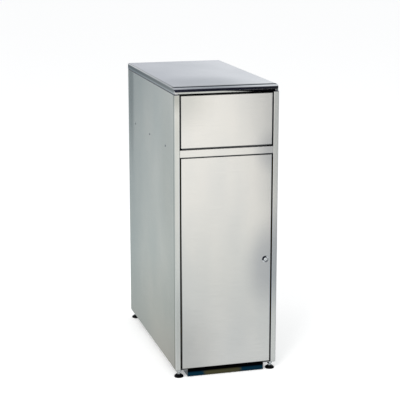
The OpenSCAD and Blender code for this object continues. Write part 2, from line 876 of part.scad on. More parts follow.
module door_buffers() {
    color(black) both_sides() translate([-buffer_x, door_back, rail_z - 9])
        rotate([-90, 0, 0]) cylinder(d = buffer_dia, h = post_d - sheet - door_d);
}

// Plan outline of the bin at a height, as four corner posts for a hull
module bin_ring(half_x, y0, y1, z, h, r) {
    for (x = [-half_x + r, half_x - r], y = [y0 + r, y1 - r])
        translate([x, y, z]) cylinder(r = r, h = h, $fn = 32);
}

// Tapered body of the bin, drawn in by a wall of t and stretched up past its rim by extra
module bin_form(t, z0, extra) {
    hull() {
        bin_ring(bin_hw_base - t, bin_front + bin_lean_front + t,
            bin_front + bin_d_top - bin_lean_rear - t, z0, 0.1, bin_corner - t);
        bin_ring(bin_hw_top - t, bin_front + t, bin_front + bin_d_top - t,
            bin_h - 0.1 + extra, 0.1, bin_corner - t);
    }
}

// Ring round the top of the bin between two outlines
module rim_ring(grow_out, grow_in, z, h) {
    translate([0, 0, z]) linear_extrude(h) difference() {
        translate([-bin_hw_top - grow_out, bin_front - grow_out]) round_rect(
            2 * (bin_hw_top + grow_out), bin_d_top + 2 * grow_out, bin_corner + grow_out);
        translate([-bin_hw_top - grow_in, bin_front - grow_in]) round_rect(
            2 * (bin_hw_top + grow_in), bin_d_top + 2 * grow_in, bin_corner + grow_in);
    }
}

// Room for the wheels in the lower front corners of the bin, grown by a wall of t
module wheel_wells(t) {
    both_sides() translate([-bin_hw_top - 20, wheel_y, wheel_r]) rotate([0, 90, 0])
        cylinder(r = wheel_r + 9 + t, h = bin_hw_top + 20 - well_hw + t);
}

module bin_shell() {
    lug_reach = bin_front - lid_y - 2;
    comb_pitch = 24;
    foot_len = 34;
    base_rear = bin_front + bin_d_top - bin_lean_rear;
    color(yellow) difference() {
        union() {
            difference() {
                bin_form(0, bin_base_z, 0);
                wheel_wells(0);
            }
            rim_ring(rim_w, -bin_wall, bin_h - rim_t, rim_t);
            rim_ring(rim_w, rim_w - 3, bin_h - rim_skirt, rim_skirt);
            both_sides() for (i = [-9:9]) if (abs(i * comb_pitch) < bin_d_top / 2 - bin_corner)
                translate([-rim_hw + 1, bin_y + i * comb_pitch - 2, bin_h - rim_skirt])
                    cube([rim_w + 1, 4, rim_skirt]);
            for (i = [-9:9], s = [0, 1]) if (abs(i * comb_pitch) < bin_hw_top - bin_corner)
                translate([i * comb_pitch - 2, bin_front - rim_w + 1 + s * (bin_d_top + rim_w - 3),
                    bin_h - rim_skirt]) cube([4, rim_w + 1, rim_skirt]);
            both_sides() for (s = [-1, 1])
                translate([-lid_arm_x + s * (lid_arm_w + 1 + lug_t) / 2 - lug_t / 2, lid_y, lid_z]) {
                    rotate([0, 90, 0]) cylinder(r = lid_arm_r, h = lug_t);
                    translate([0, 0, -lid_arm_r]) cube([lug_t, lug_reach, 2 * lid_arm_r]);
                }
            translate([-lid_arm_x + lid_arm_w / 2, lid_y, lid_z]) rotate([0, 90, 0])
                cylinder(d = handle_dia, h = 2 * lid_arm_x - lid_arm_w);
            both_sides() translate([-well_hw + 1, wheel_y, wheel_r]) rotate([0, 90, 0])
                cylinder(r = axle_r + 12, h = 26);
            both_sides() translate([-well_hw + 1, wheel_y, wheel_r - axle_r - 12])
                cube([26, bin_lean_front + 30, 2 * axle_r + 24]);
            both_sides() translate([-bin_hw_base + 34, base_rear - 40 - foot_len, 0])
                cube([50, foot_len, bin_base_z + 6]);
        }
        difference() {
            bin_form(bin_wall, bin_base_z + bin_wall, 2);
            wheel_wells(bin_wall);
        }
        both_sides() translate([-lid_arm_x, lid_y, lid_z]) rotate([0, 90, 0])
            cylinder(r = lid_pin_r, h = lid_arm_w + 2 * lug_t + 6, center = true);
        translate([-hw, wheel_y, wheel_r]) rotate([0, 90, 0]) cylinder(r = axle_r, h = body_w);
    }
}

module bin_axle() {
    color(bright) translate([-tyre_x + 1, wheel_y, wheel_r]) rotate([0, 90, 0])
        cylinder(r = axle_r, h = 2 * tyre_x - 2);
}

module axle_caps() {
    color(black) both_sides() translate([-tyre_x + 1, wheel_y, wheel_r]) rotate([0, 90, 0])
        rotate_extrude() polygon([
            [0, -1], [axle_r, -1], [axle_r + 4, 0], [axle_r + 4, 2], [axle_r, 2], [axle_r, 0], [0, 0]
        ]);
}

module lid_pins() {
    color(black) both_sides() translate([-lid_arm_x, lid_y, lid_z]) rotate([0, 90, 0])
        cylinder(r = lid_pin_r, h = lid_arm_w + 2 * lug_t, center = true);
}

// Lid, drawn shut with its pivot along X at the origin, and then hung down
module lid_shut() {
    lid_hw = rim_hw + 3;
    y0 = lid_arm_r + 14;
    panel_in = 38;
    panel_h = 13;
    difference() {
        union() {
            translate([-lid_hw, y0, -lid_edge]) linear_extrude(lid_edge + lid_wall)
                round_rect(2 * lid_hw, lid_len - y0, bin_corner);
            hull() {
                translate([-lid_hw + panel_in, y0 + panel_in, 0]) linear_extrude(0.1)
                    round_rect(2 * (lid_hw - panel_in), lid_len - y0 - 2 * panel_in, 34, $fn = 32);
                translate([-lid_hw + panel_in + 8, y0 + panel_in + 8, panel_h + lid_wall - 0.1])
                    linear_extrude(0.1) round_rect(2 * (lid_hw - panel_in - 8),
                        lid_len - y0 - 2 * panel_in - 16, 26, $fn = 32);
            }
            both_sides() translate([-lid_arm_x, 0, 0]) {
                rotate([0, 90, 0]) cylinder(r = lid_arm_r, h = lid_arm_w, center = true);
                translate([-lid_arm_w / 2, 0, lid_wall - 8]) cube([lid_arm_w, y0 + 5, 8]);
            }
        }
        translate([-lid_hw + lid_wall, y0 + lid_wall, -lid_edge - over])
            linear_extrude(lid_edge + over) round_rect(
                2 * (lid_hw - lid_wall), lid_len - y0 - 2 * lid_wall, bin_corner - lid_wall);
        hull() {
            translate([-lid_hw + panel_in + lid_wall, y0 + panel_in + lid_wall, -0.1])
                linear_extrude(0.1) round_rect(2 * (lid_hw - panel_in - lid_wall),
                    lid_len - y0 - 2 * (panel_in + lid_wall), 31, $fn = 32);
            translate([-lid_hw + panel_in + 8 + lid_wall, y0 + panel_in + 8 + lid_wall, panel_h])
                linear_extrude(0.1) round_rect(2 * (lid_hw - panel_in - 8 - lid_wall),
                    lid_len - y0 - 2 * (panel_in + 8 + lid_wall), 23, $fn = 32);
        }
        both_sides() translate([-lid_arm_x, 0, 0]) rotate([0, 90, 0])
            cylinder(r = lid_pin_r + fit, h = lid_arm_w + 2, center = true);
    }
}

module bin_lid() {
    color(yellow) translate([0, lid_y, lid_z]) rotate([270, 0, 0]) lid_shut();
}

// Left wheel, turned about the axle
module tyre() {
    tread = wheel_r - 5;
    color(black) translate([-tyre_x, wheel_y, wheel_r]) rotate([0, 90, 0]) rotate_extrude($fn = 96)
        polygon([
            [hub_r, 3], [tread, 0], [wheel_r - 2, 2], [wheel_r, 6], [wheel_r, wheel_w - 6],
            [wheel_r - 2, wheel_w - 2], [tread, wheel_w], [hub_r, wheel_w - 3]
        ]);
}

module hub() {
    inner = axle_r + fit;
    web_r = hub_r - 12;
    color(nylon) translate([-tyre_x, wheel_y, wheel_r]) rotate([0, 90, 0]) difference() {
        rotate_extrude() polygon([
            [inner, 3.5], [axle_r + 9, 3.5], [axle_r + 10, wheel_w / 2 - 3], [web_r, wheel_w / 2 - 3],
            [hub_r - 4, 5], [hub_r, 5], [hub_r, wheel_w - 5], [hub_r - 4, wheel_w - 5],
            [web_r, wheel_w / 2 + 3], [axle_r + 10, wheel_w / 2 + 3], [axle_r + 9, wheel_w - 1],
            [inner, wheel_w - 1]
        ]);
        for (a = [0:60:300]) rotate(a) translate([(web_r + axle_r + 10) / 2, 0, -over])
            cylinder(d = 18, h = wheel_w);
    }
}
module tyre_left() { tyre(); }
module tyre_right() { mirror([1, 0, 0]) tyre(); }
module hub_left() { hub(); }
module hub_right() { mirror([1, 0, 0]) hub(); }

side_left();
side_right();
rear_panel();
worktop();
worktop_core();
top_rail();
mid_rail();
side_brace_left();
side_brace_right();
side_fixings();
chute_left();
chute_right();
chute_front();
chute_rear();
chute_screws();
bin_guide();
bin_stop();
lower_hinge_plate();
foot_plates();
foot_nuts();
flap_bushes();
door_bush_upper();
door_bush_lower();
lock_keeper();
door_buffers();
foot_stud_front_left();
foot_pad_front_left();
foot_stud_front_right();
foot_pad_front_right();
foot_stud_rear_left();
foot_pad_rear_left();
foot_stud_rear_right();
foot_pad_rear_right();
flap_skin();
flap_liner();
flap_pin_blocks();
flap_pins();
flap_buffers();
door_skin();
door_liner();
door_stiffener();
door_pin_blocks();
door_pins();
lock_housing();
lock_nut();
lock_plug();
lock_cam();
cam_screw();
bin_shell();
bin_axle();
axle_caps();
lid_pins();
bin_lid();
tyre_left();
hub_left();
tyre_right();
hub_right();
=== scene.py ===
"""Looks of a tray emptying waste bin: its steel cabinet, flap, door and lock, and the bin inside."""
import logging
import math
from dataclasses import dataclass, replace
from enum import Enum
from functools import partial
from typing import Callable, ClassVar, Sequence

import bmesh
import bpy
from mathutils import Matrix, Vector


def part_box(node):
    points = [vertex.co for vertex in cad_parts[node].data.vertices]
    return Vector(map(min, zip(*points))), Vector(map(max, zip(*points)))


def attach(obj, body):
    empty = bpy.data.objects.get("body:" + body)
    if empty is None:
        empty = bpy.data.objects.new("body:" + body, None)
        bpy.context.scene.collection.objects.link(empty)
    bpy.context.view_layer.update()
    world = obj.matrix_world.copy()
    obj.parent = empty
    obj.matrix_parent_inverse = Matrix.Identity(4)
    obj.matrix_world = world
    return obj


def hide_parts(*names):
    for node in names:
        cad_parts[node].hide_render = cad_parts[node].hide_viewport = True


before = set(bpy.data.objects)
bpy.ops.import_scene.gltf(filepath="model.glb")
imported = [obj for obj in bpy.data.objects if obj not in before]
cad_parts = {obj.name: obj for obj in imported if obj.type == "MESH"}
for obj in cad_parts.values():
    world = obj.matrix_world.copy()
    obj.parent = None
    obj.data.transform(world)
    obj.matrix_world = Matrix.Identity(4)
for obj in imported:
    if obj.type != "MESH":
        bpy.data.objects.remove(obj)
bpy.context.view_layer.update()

Tree = bpy.types.NodeTree
Node = bpy.types.Node
Socket = bpy.types.NodeSocket
Material = bpy.types.Material
Mesh = bmesh.types.BMesh
Edge = bmesh.types.BMEdge
Adder = Callable[..., Node]
Triple = tuple[float, float, float]
Rgba = tuple[float, float, float, float]

log = logging.getLogger("waste_bin")
MM = 0.001
MERGE_MM = 0.002
FULL_TURN = 2 * math.pi

# Settings that several nodes share.
SMOOTH = {"interpolation_type": "SMOOTHSTEP"}
COLOUR = {"data_type": "RGBA"}
MULTIPLY = {"data_type": "RGBA", "blend_type": "MULTIPLY", 0: 1.0}


class Axis(Enum):
    """Direction that a brushed grain or a turned piece follows."""

    X = (1, 0, 0)
    Y = (0, 1, 0)
    Z = (0, 0, 1)


class Side(Enum):
    """Side of the cabinet, as the sign of its X."""

    LEFT = -1
    RIGHT = 1


def linear(hex_colour: str) -> Rgba:
    """Turns an sRGB hex colour to linear light.

    Args:
        hex_colour: Colour as "#RRGGBB".

    Returns:
        Red, green, blue and an opacity of 1 for a shader socket.
    """
    values = [int(hex_colour[i:i + 2], 16) / 255 for i in (1, 3, 5)]
    red, green, blue = (v / 12.92 if v <= 0.04045 else ((v + 0.055) / 1.055) ** 2.4 for v in values)
    return red, green, blue, 1.0


def add_node(
    tree: Tree, kind: str, settings: dict | None = None, links: dict | Node | Socket | None = None,
) -> Node:
    """Adds a node with its settings and its incoming links.

    Args:
        tree: Node tree that gets the node.
        kind: Type of the node without its ShaderNode, such as "TexNoise".
        settings: Values by attribute name, or by the name or number of an input.
        links: What feeds the node, by the name or number of an input, or what feeds its first
            input. A node stands for its first output in use.

    Returns:
        The new node.
    """
    node = tree.nodes.new(f"ShaderNode{kind}")
    for name, value in (settings or {}).items():
        if isinstance(name, str) and hasattr(node, name):
            setattr(node, name, value)
        else:
            node.inputs[name].default_value = value
    if not isinstance(links, dict):
        links = {} if links is None else {0: links}
    for name, source in links.items():
        if isinstance(source, Node):
            source = next(output for output in source.outputs if output.enabled)
        tree.links.new(source, node.inputs[name])
    return node


def fill_ramp(node: Node, stops: Sequence[tuple[float, str | Rgba]]) -> Node:
    """Writes the stops of a colour ramp.

    Args:
        node: Colour ramp node.
        stops: Position of each stop, from 0 to 1, and its colour, as sRGB hex or linear.

    Returns:
        The same node.
    """
    ramp = node.color_ramp
    while len(ramp.elements) < len(stops):
        ramp.elements.new(1.0)
    for element, (position, colour) in zip(ramp.elements, stops):
        element.position = position
        element.color = linear(colour) if isinstance(colour, str) else colour
    return node


def new_material(name: str) -> tuple[Material, Adder, Socket]:
    """Makes an empty material.

    Args:
        name: Name of the material.

    Returns:
        The material, what adds a node to it, and its object coordinates.
    """
    material = bpy.data.materials.new(name)
    material.use_nodes = True
    material.node_tree.nodes.clear()
    add = partial(add_node, material.node_tree)
    return material, add, add("TexCoord").outputs["Object"]


def close_material(material: Material, settings: dict, links: dict) -> Material:
    """Ends a material with its shader.

    Args:
        material: Material that holds the nodes of its patterns.
        settings: Values of the inputs of the shader.
        links: What feeds the other inputs of the shader.

    Returns:
        The same material.
    """
    add = partial(add_node, material.node_tree)
    add("OutputMaterial", links=add("BsdfPrincipled", settings, links))
    return material


# Painted shade: a dull blue black put on a folded edge in a shadow gap.
GAP_SHADE = "#33364A"


@dataclass(frozen=True)
class PaintedShadeBand:
    """Band of a sheet painted darker past a line: painted shade in a gap or under the nose, or a painted
    reflection on a side edge.
    """

    along: Triple
    bright_mm: float
    shaded_mm: float
    both_sides: bool = False
    tone: str = GAP_SHADE

    def mix(self, add: Adder, place: Socket, ground: Node) -> Node:
        """Fades the ground colour to the painted shade along a direction.

        Args:
            add: Adds a node to the material.
            place: Object coordinates.
            ground: Colour of the ground sheet.

        Returns:
            The mixed colour.
        """
        along = add("VectorMath", {"operation": "DOT_PRODUCT", 1: self.along}, place)
        if self.both_sides:
            along = add("Math", {"operation": "ABSOLUTE"}, along)
        span = {"From Min": self.bright_mm * MM, "From Max": self.shaded_mm * MM}
        reach = add("MapRange", span, along)
        return add("Mix", {**COLOUR, 7: linear(self.tone)}, {0: reach, 6: ground})


@dataclass(frozen=True)
class PaintedShadePatch:
    """Soft round patch of painted shade or painted reflection that darkens a surface towards its centre.
    """

    centre_mm: Triple
    half_mm: Triple
    tone: str
    full_tone_at: float = 0.8

    def mix(self, add: Adder, place: Socket, ground: Node) -> Node:
        """Multiplies the ground colour by the tone of the patch, fading to its rim.

        Args:
            add: Adds a node to the material.
            place: Object coordinates.
            ground: Colour of the ground sheet.

        Returns:
            The mixed colour.
        """
        inside = add(
            "Mapping",
            {"vector_type": "TEXTURE", "Location": [c * MM for c in self.centre_mm],
             "Scale": [h * MM for h in self.half_mm]},
            place,
        )
        ball = add("TexGradient", {"gradient_type": "SPHERICAL"}, inside)
        soft = add("MapRange", {**SMOOTH, "From Max": self.full_tone_at}, ball.outputs["Fac"])
        return add("Mix", {**MULTIPLY, 7: linear(self.tone)}, {0: soft, 6: ground})


@dataclass(frozen=True)
class BrushedSteel:
    """Stainless steel sheet, ground in one direction with a belt."""

    name: str
    tone: str
    cloud_tone: str
    grain: Axis
    across: Axis = Axis.Z
    roughness: float = 0.2
    streak: float = 0.85
    line_mm: float = 1.6
    line_length_mm: float = 90.0
    line_depth_mm: float = 0.012
    line_height: float = 0.35
    line_shade: float = 0.93
    line_edges: tuple[float, float] = (0.28, 0.6)
    cloud_mm: Triple = (160.0, 300.0, 420.0)
    cloud_edges: tuple[float, float] = (0.32, 0.68)
    roughness_spread: float = 0.04
    painted_shading: tuple[PaintedShadeBand | PaintedShadePatch, ...] = ()

    def build(self) -> Material:
        """Builds the material: clouds in the tone, and long fine lines in gloss and height.

        The gloss is drawn out across the grain, as it is on ground sheet. Bands and patches of painted
        shade and painted reflection darken the folded edges in the gaps and parts of the sheet.

        Returns:
            The material.
        """
        material, add, place = new_material(self.name)
        line_scale = [
            1 / (MM * (self.line_length_mm if along else self.line_mm)) for along in self.grain.value
        ]
        lines_at = add("Mapping", {"Scale": line_scale}, place)
        lines = add("TexNoise", {"Scale": 1.0, "Detail": 3.0, "Roughness": 0.6}, lines_at)
        cloud_scale = [1 / (MM * size) for size in self.cloud_mm]
        clouds_at = add("Mapping", {"Scale": cloud_scale}, place)
        clouds = add("TexNoise", {"Scale": 1.0, "Detail": 2.0, "Roughness": 0.45}, clouds_at)
        low, high = self.cloud_edges
        tone = fill_ramp(add("ValToRGB", links=clouds), [(low, self.tone), (high, self.cloud_tone)])
        low, high = self.line_edges
        shade = self.line_shade
        streaks = fill_ramp(
            add("ValToRGB", links=lines),
            [(low, (shade, shade, shade, 1.0)), (high, (1.0, 1.0, 1.0, 1.0))],
        )
        skin = add("Mix", MULTIPLY, {6: tone, 7: streaks})
        for part in self.painted_shading:
            skin = part.mix(add, place, skin)
        gloss = add(
            "MapRange",
            {"To Min": self.roughness - self.roughness_spread,
             "To Max": self.roughness + self.roughness_spread},
            lines,
        )
        height = add(
            "Bump", {"Strength": self.line_height, "Distance": self.line_depth_mm * MM},
            {"Height": lines},
        )
        lay = add(
            "VectorTransform",
            {"vector_type": "VECTOR", "convert_from": "OBJECT", "convert_to": "WORLD",
             "Vector": self.across.value},
        )
        return close_material(
            material, {"Metallic": 1.0, "Anisotropic": self.streak},
            {"Tangent": lay, "Base Color": skin, "Roughness": gloss, "Normal": height},
        )


@dataclass(frozen=True)
class SpeckledFinish:
    """Finish whose grain runs in no direction: plated, polished, moulded or cut."""

    name: str
    tone: str
    second_tone: str
    roughness: float
    metallic: float = 0.0
    grain_mm: float = 1.2
    grain_depth_mm: float = 0.03
    grain_height: float = 0.4
    patch_mm: float = 40.0
    patch_edges: tuple[float, float] = (0.35, 0.7)
    roughness_spread: float = 0.05
    least_roughness: float = 0.02
    specular: float = 0.5
    subsurface: float = 0.0
    subsurface_m: Triple = (0.004, 0.003, 0.001)
    stretch: Triple = (1.0, 1.0, 1.0)

    def build(self) -> Material:
        """Builds the material: patches in the tone, and a fine grain in gloss and height.

        Returns:
            The material.
        """
        material, add, place = new_material(self.name)
        grain_scale = [s / (MM * self.grain_mm) for s in self.stretch]
        grain_at = add("Mapping", {"Scale": grain_scale}, place)
        grain = add("TexNoise", {"Scale": 1.0, "Detail": 3.0, "Roughness": 0.55}, grain_at)
        patch_scale = 1 / (MM * self.patch_mm)
        patches = add("TexNoise", {"Scale": patch_scale, "Detail": 4.0, "Roughness": 0.6}, place)
        low, high = self.patch_edges
        stops = [(low, self.tone), (high, self.second_tone)]
        tone = fill_ramp(add("ValToRGB", links=patches), stops)
        gloss = add(
            "MapRange",
            {"To Min": max(self.least_roughness, self.roughness - self.roughness_spread),
             "To Max": self.roughness + self.roughness_spread},
            patches,
        )
        height = add(
            "Bump", {"Strength": self.grain_height, "Distance": self.grain_depth_mm * MM},
            {"Height": grain},
        )
        return close_material(
            material,
            {"Metallic": self.metallic, "Specular IOR Level": self.specular,
             "Subsurface Weight": self.subsurface, "Subsurface Radius": self.subsurface_m},
            {"Base Color": tone, "Roughness": gloss, "Normal": height},
        )


@dataclass(frozen=True)
class MirrorBar:
    """Steel bar polished to a mirror, with a painted reflection of the colours that stand before it and a
    painted shadow along its top.
    """

    name: str
    middle_reflection_tone: str = "#5A573F"
    end_reflection_tone: str = "#12394E"
    top_shadow_tone: str = "#040406"
    middle_mm: float = -12.0
    reach_mm: tuple[float, float] = (68.0, 92.0)
    top_shadow_mm: tuple[float, float] = (16.0, 24.0)
    roughness: float = 0.12
    dent_mm: float = 22.0
    dent_depth_mm: float = 0.02
    dent_height: float = 0.3
    sway_mm: float = 30.0

    def build(self) -> Material:
        """Builds the material: painted reflection, brown in the middle and blue at the ends, and painted
        shadow, black along the top.

        Returns:
            The material.
        """
        material, add, place = new_material(self.name)
        split = add("SeparateXYZ", links=place).outputs
        dents = add("TexNoise", {"Scale": 1 / (MM * self.dent_mm), "Detail": 3.0}, place)
        sway = self.sway_mm * MM
        swayed = add("MapRange", {"To Min": -sway, "To Max": sway}, dents)
        # Painted reflection: brown in the middle, blue towards the ends; then painted shadow along the
        # top.
        off_middle = add("Math", {"operation": "SUBTRACT", 1: self.middle_mm * MM}, split["X"])
        out = add("Math", {"operation": "ABSOLUTE"}, off_middle)
        wavy = add("Math", {"operation": "ADD"}, {0: out, 1: swayed})
        near, far = self.reach_mm
        ends = add("MapRange", {"From Min": near * MM, "From Max": far * MM}, wavy)
        tone = add("Mix", {**COLOUR, 6: linear(self.middle_reflection_tone), 7: linear(self.end_reflection_tone)}, ends)
        low, high = self.top_shadow_mm
        top = add("MapRange", {"From Min": low * MM, "From Max": high * MM}, split["Z"])
        skin = add("Mix", {**COLOUR, 7: linear(self.top_shadow_tone)}, {0: top, 6: tone})
        height = add(
            "Bump", {"Strength": self.dent_height, "Distance": self.dent_depth_mm * MM},
            {"Height": dents},
        )
        return close_material(
            material, {"Metallic": 1.0, "Roughness": self.roughness},
            {"Base Color": skin, "Normal": height},
        )


@dataclass(frozen=True)
class TurnedChrome:
    """Chromed casting that was turned on a lathe, with painted reflections in light and dark sectors and
    painted shade down its groove.
    """

    name: str
    light: str = "#F6F8FA"
    half: str = "#A6A9AF"
    dark: str = "#2A2D3B"
    centre_mm: tuple[float, float] = (173.0, 501.0)
    groove_mm: tuple[float, float, float, float] = (6.6, 7.4, 8.8, 9.8)
    reach_mm: float = 16.0
    roughness: float = 0.08
    line_scale: float = 125.0
    line_depth_mm: float = 0.01
    line_height: float = 0.15

    def build(self) -> Material:
        """Builds the material: painted reflections in sectors by the angle round the lock, and painted
        shade in a black groove.

        Returns:
            The material.
        """
        material, add, place = new_material(self.name)
        split = add("SeparateXYZ", links=place).outputs
        flat = add("CombineXYZ", links={"X": split["X"], "Y": split["Z"]})
        round_lock = add("Mapping", {"Location": [-c * MM for c in (*self.centre_mm, 0.0)]}, flat)
        angle = add("TexGradient", {"gradient_type": "RADIAL"}, round_lock)
        # Painted reflections in sectors round the lock, and painted shade down the groove round the plug.
        light, half, dark = (linear(tone) for tone in (self.light, self.half, self.dark))
        sectors = fill_ramp(add("ValToRGB", links=angle.outputs["Fac"]), [
            (0.0, dark), (0.03, dark), (0.06, light), (0.21, light), (0.26, half), (0.42, half),
            (0.48, light), (0.68, light), (0.73, dark), (1.0, dark),
        ])
        radius = add("VectorMath", {"operation": "LENGTH"}, round_lock)
        rings = add("MapRange", {"From Max": self.reach_mm * MM}, radius)
        inner, foot, crest, outer = (r / self.reach_mm for r in self.groove_mm)
        white, black = (1.0, 1.0, 1.0, 1.0), (0.0, 0.0, 0.0, 1.0)
        groove = fill_ramp(add("ValToRGB", links=rings), [
            (0.0, black), (inner, black), (foot, white), (crest, white), (outer, black), (1.0, black),
        ])
        plug_edge = self.groove_mm[1] * MM
        off_plug = add("Math", {"operation": "GREATER_THAN", 1: plug_edge}, radius)
        face = add("Mix", {**COLOUR, 6: light}, {0: off_plug, 7: sectors})
        skin = add("Mix", {**COLOUR, 7: dark}, {0: groove, 6: face})
        lines = add(
            "TexWave",
            {"wave_type": "RINGS", "rings_direction": "SPHERICAL", "Scale": self.line_scale},
            round_lock,
        )
        height = add(
            "Bump", {"Strength": self.line_height, "Distance": self.line_depth_mm * MM},
            {"Height": lines.outputs["Fac"]},
        )
        return close_material(
            material, {"Metallic": 1.0, "Roughness": self.roughness},
            {"Base Color": skin, "Normal": height},
        )


Finish = BrushedSteel | SpeckledFinish | MirrorBar | TurnedChrome

# Satin sheet, belt ground along the width: warm pale grey with soft level streaks.
# The real lines are about 0.1 mm apart and are drawn at 1.6 mm so that they show.
FRONT_STEEL = BrushedSteel(
    "satin_stainless_front", "#F8F6F1", "#EEEEEB", Axis.X,
    painted_shading=(
        # Painted reflections and shade: darker round the lock and at the right of the flap, and low and
        # high on the left.
        PaintedShadePatch((185.0, -440.0, 480.0), (130.0, 80.0, 250.0), "#DDDFE4"),
        PaintedShadePatch((200.0, -440.0, 970.0), (100.0, 80.0, 120.0), "#E8E9EC"),
        PaintedShadePatch((-230.0, -440.0, 80.0), (260.0, 80.0, 300.0), "#E8E8E8"),
        PaintedShadePatch((-230.0, -440.0, 1215.0), (230.0, 80.0, 190.0), "#E8E9E8"),
    ),
)
# Painted shade on the folded edges of each front piece, where they face the gaps: the hinge edge and the
# top.
HINGE_GAP_SHADE = PaintedShadeBand((-1.0, 0.0, 0.0), 196.2, 196.8)
RAIL_FRONT_STEEL = replace(
    FRONT_STEEL, name="satin_stainless_mid_rail",
    painted_shading=FRONT_STEEL.painted_shading + (PaintedShadeBand(Axis.Z.value, 991.2, 991.8),),
)
FLAP_STEEL = replace(
    FRONT_STEEL, name="satin_stainless_flap",
    painted_shading=FRONT_STEEL.painted_shading + (HINGE_GAP_SHADE, PaintedShadeBand(Axis.Z.value, 1216.2, 1216.8, tone="#64676B")),
)
# Painted shade on the hinge edge of the door is blacker than that of the flap, most of all near the
# floor.
DOOR_STEEL = replace(
    FRONT_STEEL, name="satin_stainless_door",
    painted_shading=FRONT_STEEL.painted_shading + (
        replace(HINGE_GAP_SHADE, tone="#0C0D13"),
        PaintedShadePatch((-197.0, -438.0, 120.0), (5.0, 12.0, 680.0), "#23262F"),
        PaintedShadeBand(Axis.Z.value, 956.2, 956.8),
    ),
)
# The same sheet over the flap, in the shadow of the nose: greyer, with the same level streaks,
# and black along its top, where the shadow reaches further down to the right.
RAIL_STEEL = BrushedSteel(
    "satin_stainless_rail", "#D4D6D2", "#C6CAC6", Axis.X,
    painted_shading=(PaintedShadeBand((1.0, 0.0, 18.0), 22110.0, 22150.0, tone="#0B0B10"),),
)
# The same sheet on the sides, ground along the depth: paler posts, greyer towards the rear. The grey at
# the rear is a painted reflection, and painted reflection and shade also darken the right post, the left
# post at top and bottom, a line down the front of the left side, and the joint under the worktop.
SIDE_STEEL = BrushedSteel(
    "satin_stainless_sides", "#F4F3EE", "#E6E9E6", Axis.Y, cloud_mm=(200.0, 260.0, 380.0),
    painted_shading=(
        PaintedShadePatch((213.0, -440.0, 500.0), (60.0, 60.0, 280.0), "#D8DBE2"),
        PaintedShadePatch((-213.0, -440.0, 1225.0), (40.0, 40.0, 100.0), "#D2D4D2"),
        PaintedShadePatch((-213.0, -442.0, 1080.0), (16.0, 9.0, 150.0), "#F4F4F2"),
        PaintedShadePatch((-213.0, -442.0, 180.0), (16.0, 9.0, 330.0), "#EBECEB"),
        PaintedShadePatch((-225.0, 375.0, 1180.0), (40.0, 80.0, 520.0), "#C6CACB"),
        PaintedShadePatch((-225.0, -330.0, 880.0), (40.0, 220.0, 520.0), "#EFF0EF"),
        PaintedShadePatch((-225.0, -427.0, 620.0), (12.0, 10.0, 4000.0), "#CDD1CE"),
        PaintedShadeBand(Axis.Z.value, 1219.4, 1220.4),
    ),
)
# The right side has painted shade on the inner face of its front return, in the gap beside the door.
RIGHT_SIDE_STEEL = replace(
    SIDE_STEEL, name="satin_stainless_right_side",
    painted_shading=SIDE_STEEL.painted_shading + (PaintedShadeBand(Axis.X.value, 203.4, 202.4),),
)
# The same sheet on the back, with nothing but its grain.
REAR_STEEL = replace(SIDE_STEEL, name="satin_stainless_back", grain=Axis.X, painted_shading=())
# Worktop sheet, finer and glossier: its rolled nose shows dark and bright bands.
WORKTOP_STEEL = BrushedSteel(
    "fine_satin_stainless_worktop", "#EEEEEF", "#D3D5D8", Axis.Y, across=Axis.X, roughness=0.12,
    streak=0.5, roughness_spread=0.03, line_depth_mm=0.006, cloud_mm=(300.0, 420.0, 200.0),
    # Painted reflections darken the top towards the front left, a line along the nose, the side edges and
    # a line down the left side; painted shade darkens the lower edge.
    painted_shading=(
        PaintedShadePatch((-70.0, -340.0, 1250.0), (270.0, 300.0, 120.0), "#CBCDCF"),
        PaintedShadePatch((10.0, -402.0, 1250.0), (480.0, 17.0, 30.0), "#2A3339"),
        PaintedShadeBand(Axis.X.value, 224.6, 224.95, both_sides=True, tone="#BCC1C7"),
        PaintedShadePatch((-226.0, -60.0, 1237.5), (5.0, 1200.0, 11.0), "#8A9393"),
        PaintedShadeBand(Axis.Z.value, 1224.6, 1223.6),
    ),
)
# Cold rolled 2B sheet inside the cabinet: duller and greyer, with faint rolling lines.
INNER_STEEL = BrushedSteel(
    "mill_finish_stainless", "#BFC1C1", "#B2B5B6", Axis.Z, roughness=0.36, streak=0.2,
    line_length_mm=160.0, line_mm=3.0, cloud_mm=(120.0, 160.0, 200.0),
)
# Polished bar under the door: nearly a mirror, with brown and blue painted as the reflection of the room
# in front, and black painted as the shadow of the gap above it.
POLISHED_STEEL = MirrorBar("polished_stainless_bar")
# Bright zinc plate on studs, nuts and pins: bluish silver with faint cloudy passivation.
ZINC_PLATE = SpeckledFinish(
    "bright_zinc_plate", "#E6EAEC", "#D5D9D8", 0.2, metallic=1.0,
    grain_mm=0.6, grain_depth_mm=0.02, patch_mm=6.0,
)
# Chromed die casting on the lock: painted reflections in sharp light and dark sectors, and painted shade
# black down the groove.
CHROME = TurnedChrome("chromed_zinc_casting")
# Heads of blind rivets in the sides: dull grey, darker than the sheet around them.
RIVET_STEEL = SpeckledFinish(
    "tumbled_rivet_steel", "#A8AEB1", "#959BA0", 0.34, metallic=1.0,
    grain_mm=0.5, grain_depth_mm=0.02, patch_mm=5.0,
)
# Injection moulded polyamide on the foot pads: deep black with a soft sheen.
FOOT_PLASTIC = SpeckledFinish(
    "moulded_polyamide_black", "#030304", "#060607", 0.36, grain_mm=0.8, patch_mm=14.0,
    specular=0.12,
)
# Machined nylon on bushes and pin blocks: dull black.
BLACK_NYLON = SpeckledFinish(
    "machined_nylon_black", "#242425", "#2D2D2F", 0.48, grain_mm=0.9, patch_mm=10.0,
)
# Moulded polypropylene on the wheel hubs: dark grey, slightly glossy.
WHEEL_PLASTIC = SpeckledFinish(
    "moulded_polypropylene_grey", "#2B2C2E", "#363739", 0.42, grain_mm=1.0, patch_mm=22.0,
)
